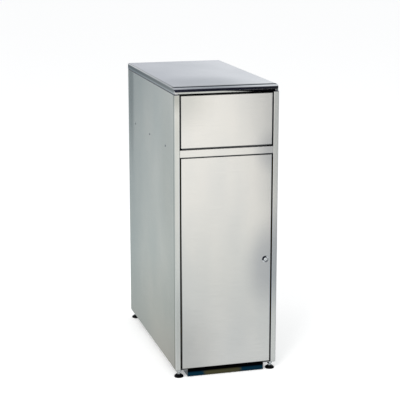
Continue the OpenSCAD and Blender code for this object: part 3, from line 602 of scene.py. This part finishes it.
# Injection moulded HDPE on the bin: strong yellow with a leathery satin skin.
BIN_YELLOW = SpeckledFinish(
    "moulded_hdpe_yellow", "#EFCB1E", "#E6BF19", 0.4, grain_mm=1.6, grain_depth_mm=0.06,
    patch_mm=90.0, subsurface=0.04, patch_edges=(0.3, 0.75),
)
# EPDM rubber on the buffers: matt black.
BLACK_RUBBER = SpeckledFinish(
    "epdm_rubber_black", "#19191A", "#212121", 0.66, grain_mm=0.7, patch_mm=8.0, specular=0.35,
)
# Recycled tyre rubber: matt charcoal, dusty where it rolls.
TYRE_RUBBER = SpeckledFinish(
    "solid_rubber_tyre", "#1E1E1F", "#2F2E2C", 0.72, grain_mm=0.9, grain_depth_mm=0.08,
    patch_mm=16.0, specular=0.3,
)
# Moisture resistant chipboard inside the worktop: tan with long darker chips.
CORE_BOARD = SpeckledFinish(
    "chipboard_core", "#B8966A", "#8F7049", 0.8, grain_mm=1.5, grain_depth_mm=0.2,
    patch_mm=4.0, stretch=(0.25, 1.0, 1.0), specular=0.3,
)


class Wardrobe:
    """Builds each finish once and puts it on pieces."""

    def __init__(self) -> None:
        """Starts with no finish built."""
        self.built: dict[str, Material] = {}

    def take(self, finish: Finish) -> Material:
        """Gives the material of a finish.

        Args:
            finish: Finish to look up.

        Returns:
            The material, built on first use.
        """
        if finish.name not in self.built:
            self.built[finish.name] = finish.build()
        return self.built[finish.name]

    def dress(self, finish: Finish, nodes: Sequence[str]) -> None:
        """Puts a finish on CAD nodes.

        Args:
            finish: Finish to use.
            nodes: Names of the nodes.
        """
        material = self.take(finish)
        for name in nodes:
            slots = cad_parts[name].data.materials
            for index in range(len(slots)):
                slots[index] = material
            if not slots:
                slots.append(material)
            log.info("dressed %s in %s", name, finish.name)


def finish_piece(
    name: str,
    mesh: Mesh,
    body: str,
    material: Material,
    replaced: Sequence[str],
    smooth_deg: float = 35.0,
) -> None:
    """Makes an object of a mesh and ties it to its body.

    Args:
        name: Name of the piece.
        mesh: Finished shape in the frame of the part, in metres.
        body: Body that it rides on.
        material: Material of the piece.
        replaced: CAD nodes that it stands for.
        smooth_deg: Largest angle that is shaded smooth.
    """
    bmesh.ops.recalc_face_normals(mesh, faces=mesh.faces)
    for face in mesh.faces:
        face.smooth = True
    limit = math.radians(smooth_deg)
    for edge in mesh.edges:
        edge.smooth = edge.calc_face_angle(math.pi) < limit
    data = bpy.data.meshes.new(name)
    mesh.to_mesh(data)
    mesh.free()
    data.materials.append(material)
    piece = bpy.data.objects.new(name, data)
    bpy.context.scene.collection.objects.link(piece)
    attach(piece, body)
    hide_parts(*replaced)
    log.info("built %s on %s: %d faces", name, body, len(data.polygons))


def close_loop(mesh: Mesh, points: list[bmesh.types.BMVert]) -> list[Edge]:
    """Joins points to a closed loop.

    Args:
        mesh: Mesh that holds the points.
        points: Points in their order round the loop.

    Returns:
        The edges of the loop.
    """
    return [mesh.edges.new(pair) for pair in zip(points, points[1:] + points[:1])]


def turn(
    mesh: Mesh,
    profile: Sequence[tuple[float, float]],
    centre: Vector,
    axis: Axis = Axis.Z,
    steps: int = 64,
    ring: bool = False,
) -> list[bmesh.types.BMFace]:
    """Spins a profile into a closed turned shape.

    Args:
        mesh: Empty mesh that gets the shape.
        profile: Radius and height of each point, in millimetres.
        centre: Place of the origin of the profile, in metres.
        axis: Axis of the turn.
        steps: Faces round the shape.
        ring: True if the profile closes on itself, and doesn't end on the axis.

    Returns:
        The faces, which point outwards.
    """
    up = Vector(axis.value)
    out = Vector((0, 1, 0)) if axis is Axis.X else Vector((1, 0, 0))
    points = [mesh.verts.new(centre + out * r * MM + up * h * MM) for r, h in profile]
    if ring:
        edges = close_loop(mesh, points)
    else:
        edges = [mesh.edges.new(pair) for pair in zip(points, points[1:])]
    bmesh.ops.spin(
        mesh, geom=points + edges, cent=centre, axis=up, angle=FULL_TURN, steps=steps,
        use_merge=True,
    )
    bmesh.ops.remove_doubles(mesh, verts=mesh.verts, dist=MERGE_MM * MM)
    bmesh.ops.recalc_face_normals(mesh, faces=mesh.faces)
    return list(mesh.faces)


# What polished metal shows of the floor ahead of the cabinet, with the distance.
FLOOR_AHEAD = (
    (0.0, "#D4D7D9"), (0.06, "#CFD2D4"), (0.15, "#CED1D2"), (0.24, "#D5D8D7"), (0.34, "#E0E2E1"),
    (0.47, "#F1F0EE"), (0.58, "#FDFBF8"), (0.9, "#FFFEFC"),
)
AHEAD_SPAN = {"From Min": -0.44, "From Max": -6.44}
# The darker strip of that floor, on the right, across its line.
FLOOR_STRIP = ((0.68, "#FFFFFF"), (0.82, "#DCDDDF"), (0.9, "#B9BCC0"), (1.0, "#A9ADB2"))
STRIP_SPAN = {"From Min": -0.2, "From Max": 0.3}
STRIP_LINE = {"operation": "DOT_PRODUCT", 1: (1.0, 0.3, 0.0)}
# The floor beside and behind the cabinet, with the distance.
FLOOR_BEHIND = (
    (0.0, "#A7A6A2"), (0.08, "#AFB3B0"), (0.2, "#BDC3C2"), (0.45, "#BDC3C3"), (0.66, "#BBC1C1"),
    (0.85, "#B3B9BA"),
)
BEHIND_SPAN = {"From Min": -0.35, "From Max": 9.65}
# Its shade close to the left side, and where it takes over from the floor ahead.
FLOOR_EDGE = ((0.05, "#FFFFFF"), (0.45, "#E8ECEF"), (0.75, "#C8D1D7"), (1.0, "#AAB4BC"))
EDGE_SPAN = {"From Min": -0.25, "From Max": 0.05}
EDGE_LINE = {"operation": "DOT_PRODUCT", 1: (1.0, 0.235, 0.0)}
PAST_FRONT = {**SMOOTH, "From Min": -0.6, "From Max": -0.3}
OFF_LEFT = {**SMOOTH, "From Min": -0.8, "From Max": -0.46}
# What it shows of the room by height: a dark opening to the front, seen from the left and from
# the right, a grey one at the back, and pale walls beside them.
NARROW_OPENING = (
    (0.0, "#F2F0EC"), (0.6, "#F2F0EC"), (0.7, "#202336"), (0.985, "#202336"), (1.0, "#F2F0EC"),
)
WIDE_OPENING = ((0.0, "#F2F0EC"), (0.04, "#F2F0EC"), (0.1, "#0C0C11"), (1.0, "#0C0C11"))
BACK_OPENING = (
    (0.0, "#FFFFFF"), (0.17, "#FFFFFF"), (0.26, "#3E474D"), (0.68, "#3E474D"), (0.78, "#FFFFFF"),
)
ROOM_WALLS = (
    (0.0, "#DADCDD"), (0.12, "#D6D8DA"), (0.35, "#B9BDC1"), (0.7, "#A4A9AE"), (1.0, "#D0D3D6"),
)
# Where one gives way to the next, by the direction in which the metal looks.
WIDENS = {**SMOOTH, "From Min": 0.27, "From Max": 0.32}
SKY_PALES = {"From Min": 0.2, "From Max": 0.33}
TURNS_BACK = {**SMOOTH, "From Min": -0.15, "From Max": 0.15}
OPENS = {**SMOOTH, "From Min": 0.03, "From Max": 0.1}
CLOSES = {**SMOOTH, "From Min": 0.42, "From Max": 0.5, "To Min": 1.0, "To Max": 0.0}


@dataclass
class Studio:
    """Plain pale floor, a white surround and soft lamps."""

    floor_size: float = 60.0
    floor_drop: float = 0.0005
    floor_glow: float = 0.34
    sky_strength: float = 0.72
    key_place: Triple = (-3.2, -4.2, 4.6)
    key_power: float = 170.0
    fill_place: Triple = (4.0, -3.0, 3.4)
    fill_power: float = 60.0
    lamp_size: float = 2.4
    lamp_aim: Triple = (0.0, 0.0, 0.7)

    def build(self) -> None:
        """Builds the floor, the world and the lamps."""
        self.build_floor()
        self.build_world()
        self.build_lamp("key_lamp", Vector(self.key_place), self.key_power)
        self.build_lamp("fill_lamp", Vector(self.fill_place), self.fill_power)

    def build_lamp(self, name: str, place: Vector, power: float) -> None:
        """Adds a square soft lamp that points at the cabinet and that metal doesn't mirror.

        Args:
            name: Name of the lamp.
            place: Where it stands, in metres.
            power: Power in watts.
        """
        data = bpy.data.lights.new(name, "AREA")
        data.shape = "SQUARE"
        data.size = self.lamp_size
        data.energy = power
        lamp = bpy.data.objects.new(name, data)
        lamp.location = place
        lamp.rotation_euler = (Vector(self.lamp_aim) - place).to_track_quat("-Z", "Y").to_euler()
        lamp.visible_glossy = False
        bpy.context.scene.collection.objects.link(lamp)

    def build_floor(self) -> None:
        """Builds the floor, which shines white to the camera and keeps the shadow."""
        mesh = bmesh.new()
        bmesh.ops.create_grid(mesh, x_segments=1, y_segments=1, size=self.floor_size / 2)
        data = bpy.data.meshes.new("studio_floor")
        mesh.to_mesh(data)
        mesh.free()
        floor = bpy.data.objects.new("studio_floor", data)
        floor.location.z = -self.floor_drop
        bpy.context.scene.collection.objects.link(floor)
        data.materials.append(self.floor_material())

    def floor_material(self) -> Material:
        """Builds the floor paint, with what polished metal sees of the room beyond it.

        Returns:
            The material.
        """
        material, add, place = new_material("pale_studio_floor")
        paint = add(
            "BsdfPrincipled",
            {"Base Color": linear("#F4F4F2"), "Roughness": 0.9, "Specular IOR Level": 0.0},
        )
        mirror = add("Emission", links=self.mirrored_floor(add, place))
        glow = add("Emission", {"Strength": self.floor_glow})
        dark = add("Emission", {"Strength": 0.0})
        path = add("LightPath")
        lift = add("MixShader", links={0: path.outputs["Is Camera Ray"], 1: dark, 2: glow})
        plain = add("AddShader", links={0: paint, 1: lift})
        both = add("MixShader", links={0: self.seen_in_metal(add, path), 1: plain, 2: mirror})
        add("OutputMaterial", links=both)
        return material

    @staticmethod
    def seen_in_metal(add: Adder, path: Node) -> Node:
        """Gives 1 for what metal or glass shows, and 0 for the rest.

        Args:
            add: Adds a node to the tree.
            path: Light path node.

        Returns:
            The node.
        """
        return add(
            "Math", {"operation": "MAXIMUM"},
            {0: path.outputs["Is Glossy Ray"], 1: path.outputs["Is Transmission Ray"]},
        )

    @staticmethod
    def mirrored_floor(add: Adder, place: Socket) -> Node:
        """Colours the floor that metal shows.

        It is pale in front, with a darker strip on the right, and greyer behind the left side.

        Args:
            add: Adds a node to the floor's material.
            place: Object coordinates.

        Returns:
            The colour.
        """
        depth = add("SeparateXYZ", links=place).outputs["Y"]
        ahead = add("MapRange", AHEAD_SPAN, depth)
        front = fill_ramp(add("ValToRGB", links=ahead), FLOOR_AHEAD)
        strip = add("VectorMath", STRIP_LINE, place)
        shade = add("MapRange", STRIP_SPAN, strip)
        side = fill_ramp(add("ValToRGB", links=shade), FLOOR_STRIP)
        before = add("Mix", MULTIPLY, {6: front, 7: side})
        beside = add("VectorMath", EDGE_LINE, place)
        close = add("MapRange", EDGE_SPAN, beside)
        edge = fill_ramp(add("ValToRGB", links=close), FLOOR_EDGE)
        back = add("MapRange", BEHIND_SPAN, depth)
        rear = fill_ramp(add("ValToRGB", links=back), FLOOR_BEHIND)
        after = add("Mix", MULTIPLY, {6: rear, 7: edge})
        past_front = add("MapRange", PAST_FRONT, depth)
        off_left = add("MapRange", OFF_LEFT, beside)
        behind = add("Math", {"operation": "MULTIPLY"}, {0: past_front, 1: off_left})
        return add("Mix", COLOUR, {0: behind, 6: before, 7: after})

    def build_world(self) -> None:
        """Builds the surround: white to the camera, and a room with dark bands to metal."""
        world = bpy.data.worlds.new("studio_world")
        bpy.context.scene.world = world
        world.use_nodes = True
        world.node_tree.nodes.clear()
        add = partial(add_node, world.node_tree)
        path = add("LightPath")
        to_metal = add("Background", links=self.mirrored_room(add))
        to_camera = add("Background", {"Color": linear("#FFFFFF"), "Strength": 1.0})
        to_rest = add("Background", {"Color": linear("#FBFCFF"), "Strength": self.sky_strength})
        first = add("MixShader", links={0: self.seen_in_metal(add, path), 1: to_rest, 2: to_metal})
        second = add("MixShader", links={0: path.outputs["Is Camera Ray"], 1: first, 2: to_camera})
        add("OutputWorld", links=second)

    @staticmethod
    def mirrored_room(add: Adder) -> Node:
        """Colours the room above the horizon.

        It has grey walls, and one tall dark opening that the nose of the worktop mirrors as bands.

        Args:
            add: Adds a node to the world.

        Returns:
            The colour.
        """
        way = add("TexCoord").outputs["Generated"]
        split = add("SeparateXYZ", links=way).outputs
        across, depth, height = split["X"], split["Y"], split["Z"]
        narrow = fill_ramp(add("ValToRGB", links=height), NARROW_OPENING)
        wide = fill_ramp(add("ValToRGB", links=height), WIDE_OPENING)
        to_right = add("MapRange", WIDENS, across)
        front = add("Mix", COLOUR, {0: to_right, 6: narrow, 7: wide})
        far_right = add("MapRange", SKY_PALES, across)
        low_sky = add("Mix", {**COLOUR, 6: linear("#C2C6CD"), 7: linear("#EEF1F5")}, far_right)
        rise = fill_ramp(add("ValToRGB", links=height), BACK_OPENING)
        back = add("Mix", MULTIPLY, {6: low_sky, 7: rise})
        behind = add("MapRange", TURNS_BACK, depth)
        opening = add("Mix", COLOUR, {0: behind, 6: front, 7: back})
        walls = fill_ramp(add("ValToRGB", links=height), ROOM_WALLS)
        opens = add("MapRange", OPENS, across)
        closes = add("MapRange", CLOSES, across)
        inside = add("Math", {"operation": "MULTIPLY"}, {0: opens, 1: closes})
        return add("Mix", COLOUR, {0: inside, 6: walls, 7: opening})


@dataclass
class PhotographCamera:
    """Camera at the place that the photograph was taken from."""

    place: Triple = (-1.4788, -5.3593, 1.9681)
    turned_deg: float = 15.479
    down_deg: float = 13.122
    lens_mm: float = 113.34
    sensor_mm: float = 36.0

    def build(self) -> None:
        """Adds the camera and makes it the scene's own."""
        data = bpy.data.cameras.new("photograph_camera")
        data.lens = self.lens_mm
        data.sensor_width = self.sensor_mm
        data.dof.use_dof = False
        camera = bpy.data.objects.new("photograph_camera", data)
        camera.location = self.place
        camera.rotation_euler = (
            math.radians(90 - self.down_deg), 0.0, math.radians(-self.turned_deg),
        )
        bpy.context.scene.collection.objects.link(camera)
        bpy.context.scene.camera = camera


@dataclass
class Assembly:
    """Sub-assembly whose CAD nodes keep their shape and take a finish."""

    wardrobe: Wardrobe
    outfit: ClassVar[dict[Finish, Sequence[str]]] = {}

    def dress(self) -> None:
        """Puts each finish of the outfit on its nodes."""
        for finish, nodes in self.outfit.items():
            self.wardrobe.dress(finish, nodes)


class Cabinet(Assembly):
    """Folded steel case with its chute, floor frame and small fittings."""

    outfit = {
        SIDE_STEEL: ["side_left"],
        RIGHT_SIDE_STEEL: ["side_right"],
        REAR_STEEL: ["rear_panel"],
        WORKTOP_STEEL: ["worktop"],
        RAIL_FRONT_STEEL: ["mid_rail"],
        RAIL_STEEL: ["top_rail"],
        INNER_STEEL: [
            "side_brace_left", "side_brace_right", "chute_left", "chute_right",
            "chute_front", "chute_rear", "lower_hinge_plate", "foot_plates",
        ],
        POLISHED_STEEL: ["bin_guide", "bin_stop"],
        RIVET_STEEL: ["side_fixings"],
        ZINC_PLATE: ["chute_screws", "foot_nuts", "lock_keeper"],
        BLACK_NYLON: ["flap_bushes", "door_bush_upper", "door_bush_lower"],
        BLACK_RUBBER: ["door_buffers"],
        CORE_BOARD: ["worktop_core"],
    }


class Flap(Assembly):
    """Push flap over the chute."""

    outfit = {
        FLAP_STEEL: ["flap_skin"],
        INNER_STEEL: ["flap_liner"],
        BLACK_NYLON: ["flap_pin_blocks"],
        ZINC_PLATE: ["flap_pins"],
        BLACK_RUBBER: ["flap_buffers"],
    }


class Door(Assembly):
    """Door with its stiffener and pivots."""

    outfit = {
        DOOR_STEEL: ["door_skin"],
        INNER_STEEL: ["door_liner", "door_stiffener"],
        BLACK_NYLON: ["door_pin_blocks"],
        ZINC_PLATE: ["door_pins"],
    }


@dataclass
class CamLock(Assembly):
    """Cam lock in the door: a domed ring round a plug with a keyway."""

    centre: Vector
    outfit = {ZINC_PLATE: ["lock_nut", "lock_cam", "cam_screw"]}
    ring_radius: float = 15.0
    ring_height: float = 2.5
    body_radius: float = 11.0
    body_depth: float = 26.0
    plug_radius: float = 7.95
    plug_bevel: float = 0.6
    plug_gap: float = 0.1
    face_height: float = 1.9
    key_width: float = 2.2
    key_length: float = 9.0
    key_depth: float = 10.0
    square: float = 8.0
    square_end: float = 29.0
    square_overlap: float = 1.0
    steps: int = 48

    def build(self) -> None:
        """Builds the ring and the plug, and dresses the nodes behind them."""
        self.build_ring()
        self.build_plug()
        self.dress()

    def build_ring(self) -> None:
        """Turns the ring: a dome that dips to the plug, on a body that goes through the door."""
        mesh = bmesh.new()
        r, h, bore = self.ring_radius, self.ring_height, self.plug_radius + self.plug_gap
        profile = [
            (bore, -0.4), (bore + 1.3, -0.5), (bore + 1.9, -0.75 * h), (bore + 3.0, -h),
            (r - 2.4, -0.95 * h), (r - 1.2, -0.7 * h), (r - 0.3, -0.3 * h), (r, 0.0),
            (self.body_radius, 0.0), (self.body_radius, self.body_depth), (bore, self.body_depth),
        ]
        turn(mesh, profile, self.centre, Axis.Y, self.steps, ring=True)
        chrome = self.wardrobe.take(CHROME)
        finish_piece("lock_ring", mesh, "door", chrome, ["lock_housing"])

    def build_plug(self) -> None:
        """Builds the plug: its face is bridged to the keyway, and its end is square."""
        mesh = bmesh.new()
        inward = Vector(Axis.Y.value) * MM
        face = self.centre - inward * self.face_height
        bmesh.ops.create_circle(
            mesh, segments=self.steps, radius=(self.plug_radius - self.plug_bevel) * MM,
            matrix=Matrix.Translation(face) @ Matrix.Rotation(math.radians(90), 4, "X"),
        )
        rim_edges = list(mesh.edges)
        across = Vector((self.key_width / 2 * MM, 0, 0))
        along = Vector((0, 0, self.key_length / 2 * MM))
        corners = [
            mesh.verts.new(face + across * i + along * j) for i, j in ((1, 1), (-1, 1), (-1, -1), (1, -1))
        ]
        bmesh.ops.subdivide_edges(mesh, edges=close_loop(mesh, corners), cuts=5)
        key_edges = [edge for edge in mesh.edges if edge not in rim_edges]
        bmesh.ops.bridge_loops(mesh, edges=rim_edges + key_edges)
        self.deepen(mesh, key_edges, inward * self.key_depth)
        shoulder = self.plug_radius / (self.plug_radius - self.plug_bevel)
        outer = self.extrude_loop(mesh, rim_edges, inward * self.plug_bevel, shoulder)
        self.deepen(mesh, outer, inward * (self.body_depth + self.face_height - self.plug_bevel))
        tail = self.square_end - self.body_depth + self.square_overlap
        bmesh.ops.create_cube(
            mesh, size=1.0,
            matrix=Matrix.Translation(self.centre + inward * (self.square_end - tail / 2))
            @ Matrix.Diagonal((self.square * MM, tail * MM, self.square * MM, 1.0)),
        )
        chrome = self.wardrobe.take(CHROME)
        finish_piece("key_plug", mesh, "lock", chrome, ["lock_plug"])

    def extrude_loop(
        self, mesh: Mesh, edges: list[Edge], move: Vector, grow: float = 1.0,
    ) -> list[Edge]:
        """Extrudes a loop of edges and grows it round the axis of the lock.

        Args:
            mesh: Mesh that holds the loop.
            edges: Edges of the loop.
            move: Way to move the new loop.
            grow: Scale of the new loop.

        Returns:
            The edges of the new loop.
        """
        made = bmesh.ops.extrude_edge_only(mesh, edges=edges)["geom"]
        verts = [part for part in made if isinstance(part, bmesh.types.BMVert)]
        bmesh.ops.translate(mesh, verts=verts, vec=move)
        bmesh.ops.scale(
            mesh, verts=verts, vec=(grow, 1.0, grow), space=Matrix.Translation(-self.centre),
        )
        chosen = set(verts)
        return [
            part for part in made
            if isinstance(part, Edge) and all(vert in chosen for vert in part.verts)
        ]

    def deepen(self, mesh: Mesh, edges: list[Edge], move: Vector) -> None:
        """Extrudes a loop of edges and closes its end.

        Args:
            mesh: Mesh that holds the loop.
            edges: Edges of the loop.
            move: Way to move the end.
        """
        bmesh.ops.contextual_create(mesh, geom=self.extrude_loop(mesh, edges, move))


@dataclass
class WheeledBin(Assembly):
    """Two-wheeled bin with its hanging lid."""

    wheel_centre: Vector
    outfit = {
        BIN_YELLOW: ["bin_shell", "bin_lid"],
        ZINC_PLATE: ["bin_axle"],
        BLACK_NYLON: ["axle_caps", "lid_pins"],
        WHEEL_PLASTIC: ["hub_left", "hub_right"],
    }
    wheel_width: float = 34.0
    bore_radius: float = 65.0
    tread_radius: float = 78.8
    block_height: float = 1.15
    block_gap: float = 1.1
    blocks: int = 72
    tread_slack: float = 0.4

    def build(self) -> None:
        """Dresses the nodes of the bin and builds its tyres."""
        self.dress()
        for side in Side:
            self.build_tyre(side)

    def build_tyre(self, side: Side) -> None:
        """Turns a tyre and raises three rows of blocks from its tread.

        Args:
            side: Side of the bin.
        """
        mesh = bmesh.new()
        half = [
            (self.bore_radius, 3.0), (67.0, 2.2), (69.0, 2.8), (72.0, 0.9), (75.0, 0.3),
            (77.0, 1.3), (78.4, 3.2), (self.tread_radius, 6.0), (self.tread_radius, 13.4),
        ]
        whole = half + [(r, self.wheel_width - w) for r, w in reversed(half)]
        centre = Vector((side.value * self.wheel_centre.x, self.wheel_centre.y, self.wheel_centre.z))
        profile = [(r, -side.value * w) for r, w in whole]
        faces = turn(mesh, profile, centre, Axis.X, self.blocks, ring=True)
        lowest = (self.tread_radius - self.tread_slack) * MM
        tread = [
            face for face in faces
            if all(math.hypot(v.co.y - centre.y, v.co.z - centre.z) > lowest for v in face.verts)
        ]
        bmesh.ops.inset_individual(
            mesh, faces=tread, thickness=self.block_gap * MM, depth=self.block_height * MM,
            use_even_offset=True,
        )
        name = side.name.lower()
        finish_piece(
            f"treaded_tyre_{name}", mesh, f"wheel_{name}",
            self.wardrobe.take(TYRE_RUBBER), [f"tyre_{name}"], smooth_deg=28.0,
        )


@dataclass
class LevellingFoot:
    """Levelling foot: a threaded stud with a hexagon, in a black pad with a ribbed rim."""

    wardrobe: Wardrobe
    corner: str
    centre: Vector
    pad_radius: float = 20.0
    pad_height: float = 12.0
    pad_steps: int = 60
    rib_gap: float = 0.45
    rib_depth: float = 0.6
    rim_slack: float = 0.01
    seat_depth: float = 5.0
    seat_gap: float = 0.05
    core_radius: float = 4.2
    thread_sink: float = 0.1
    crest_radius: float = 4.97
    stud_top: float = 36.0
    pitch: float = 1.5
    thread_start: float = 17.8
    thread_end: float = 34.6
    thread_steps: int = 20
    hex_across: float = 14.0
    hex_height: float = 5.0
    hex_bevel: float = 0.5

    def build(self) -> None:
        """Builds the stud and the pad."""
        self.build_stud()
        self.build_pad()

    def build_stud(self) -> None:
        """Turns the core, winds the thread round it and adds the hexagon."""
        mesh = bmesh.new()
        seat = self.pad_height - self.seat_depth + self.seat_gap
        turn(mesh, [
            (0.0, seat), (self.crest_radius, seat), (self.crest_radius, self.pad_height),
            (self.core_radius, self.pad_height + 0.6), (self.core_radius, self.stud_top - 0.8),
            (self.core_radius - 0.8, self.stud_top), (0.0, self.stud_top),
        ], self.centre, steps=32)
        self.wind_thread(mesh)
        self.add_hexagon(mesh)
        finish_piece(
            f"threaded_stud_{self.corner}", mesh, f"foot_{self.corner}",
            self.wardrobe.take(ZINC_PLATE), [f"foot_stud_{self.corner}"],
        )

    def wind_thread(self, mesh: Mesh) -> None:
        """Winds a closed ridge round the core.

        Args:
            mesh: Mesh of the stud.
        """
        root, crest = self.core_radius - self.thread_sink, self.crest_radius
        section = [(root, -0.65), (crest, -0.12), (crest, 0.12), (root, 0.65)]
        points = [
            mesh.verts.new(self.centre + Vector((r, 0, self.thread_start + h)) * MM) for r, h in section
        ]
        edges = close_loop(mesh, points)
        turns = (self.thread_end - self.thread_start) / self.pitch
        last = bmesh.ops.spin(
            mesh, geom=points + edges, cent=self.centre, axis=Axis.Z.value,
            dvec=(0, 0, self.pitch / self.thread_steps * MM), angle=turns * FULL_TURN,
            steps=round(turns * self.thread_steps),
        )["geom_last"]
        bmesh.ops.contextual_create(mesh, geom=edges)
        bmesh.ops.contextual_create(mesh, geom=[part for part in last if isinstance(part, Edge)])

    def add_hexagon(self, mesh: Mesh) -> None:
        """Adds the hexagon that a spanner turns.

        Args:
            mesh: Mesh of the stud.
        """
        corner_radius = self.hex_across / 2 / math.cos(math.radians(30)) * MM
        middle = self.centre + Vector((0, 0, self.pad_height + self.hex_height / 2)) * MM
        verts = bmesh.ops.create_cone(
            mesh, cap_ends=True, segments=6, radius1=corner_radius, radius2=corner_radius,
            depth=self.hex_height * MM, matrix=Matrix.Translation(middle),
        )["verts"]
        chosen = set(verts)
        edges = [edge for edge in mesh.edges if all(vert in chosen for vert in edge.verts)]
        bmesh.ops.bevel(
            mesh, geom=edges, offset=self.hex_bevel * MM, offset_type="OFFSET", segments=2,
            profile=0.5, affect="EDGES", material=-1, clamp_overlap=True,
        )

    def build_pad(self) -> None:
        """Turns the pad and cuts grip pockets in its rim."""
        mesh = bmesh.new()
        r, h = self.pad_radius, self.pad_height
        faces = turn(mesh, [
            (0.0, 0.0), (r - 0.9, 0.0), (r, 0.8), (r, 5.2), (r - 0.7, 5.9), (r - 2.2, 7.1),
            (r - 5.0, 9.2), (r - 7.4, 11.2), (r - 8.4, h), (5.0, h), (5.0, h - self.seat_depth),
            (0.0, h - self.seat_depth),
        ], self.centre, steps=self.pad_steps)
        least = (r - self.rim_slack) * MM
        rim = [
            face for face in faces
            if all((v.co - self.centre).xy.length > least for v in face.verts)
        ]
        bmesh.ops.inset_individual(
            mesh, faces=rim, thickness=self.rib_gap * MM, depth=-self.rib_depth * MM,
            use_even_offset=True,
        )
        finish_piece(
            f"ribbed_pad_{self.corner}", mesh, f"foot_{self.corner}",
            self.wardrobe.take(FOOT_PLASTIC), [f"foot_pad_{self.corner}"],
        )


# Places in metres. The wheels turn on the axle, whose middle lies one radius behind its front.
LOCK_CENTRE = (0.173, -0.44, 0.501)
WHEEL_X, WHEEL_Z, AXLE_RADIUS = 0.1665, 0.08, 0.008
FOOT_PLACES = {
    "front_left": (-0.205, -0.419, 0.0), "front_right": (0.205, -0.419, 0.0),
    "rear_left": (-0.205, 0.415, 0.0), "rear_right": (0.205, 0.415, 0.0),
}


def main() -> None:
    """Builds the studio and every sub-assembly, in order."""
    logging.basicConfig(level=logging.INFO, format="%(message)s")
    bpy.context.scene.view_settings.view_transform = "Standard"
    PhotographCamera().build()
    Studio().build()
    wardrobe = Wardrobe()
    for assembly in (Cabinet, Flap, Door):
        assembly(wardrobe).dress()
    CamLock(wardrobe, Vector(LOCK_CENTRE)).build()
    axle_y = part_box("bin_axle")[0][1] + AXLE_RADIUS
    WheeledBin(wardrobe, Vector((WHEEL_X, axle_y, WHEEL_Z))).build()
    for corner, place in FOOT_PLACES.items():
        LevellingFoot(wardrobe, corner, Vector(place)).build()


if __name__ == "__main__":
    main()
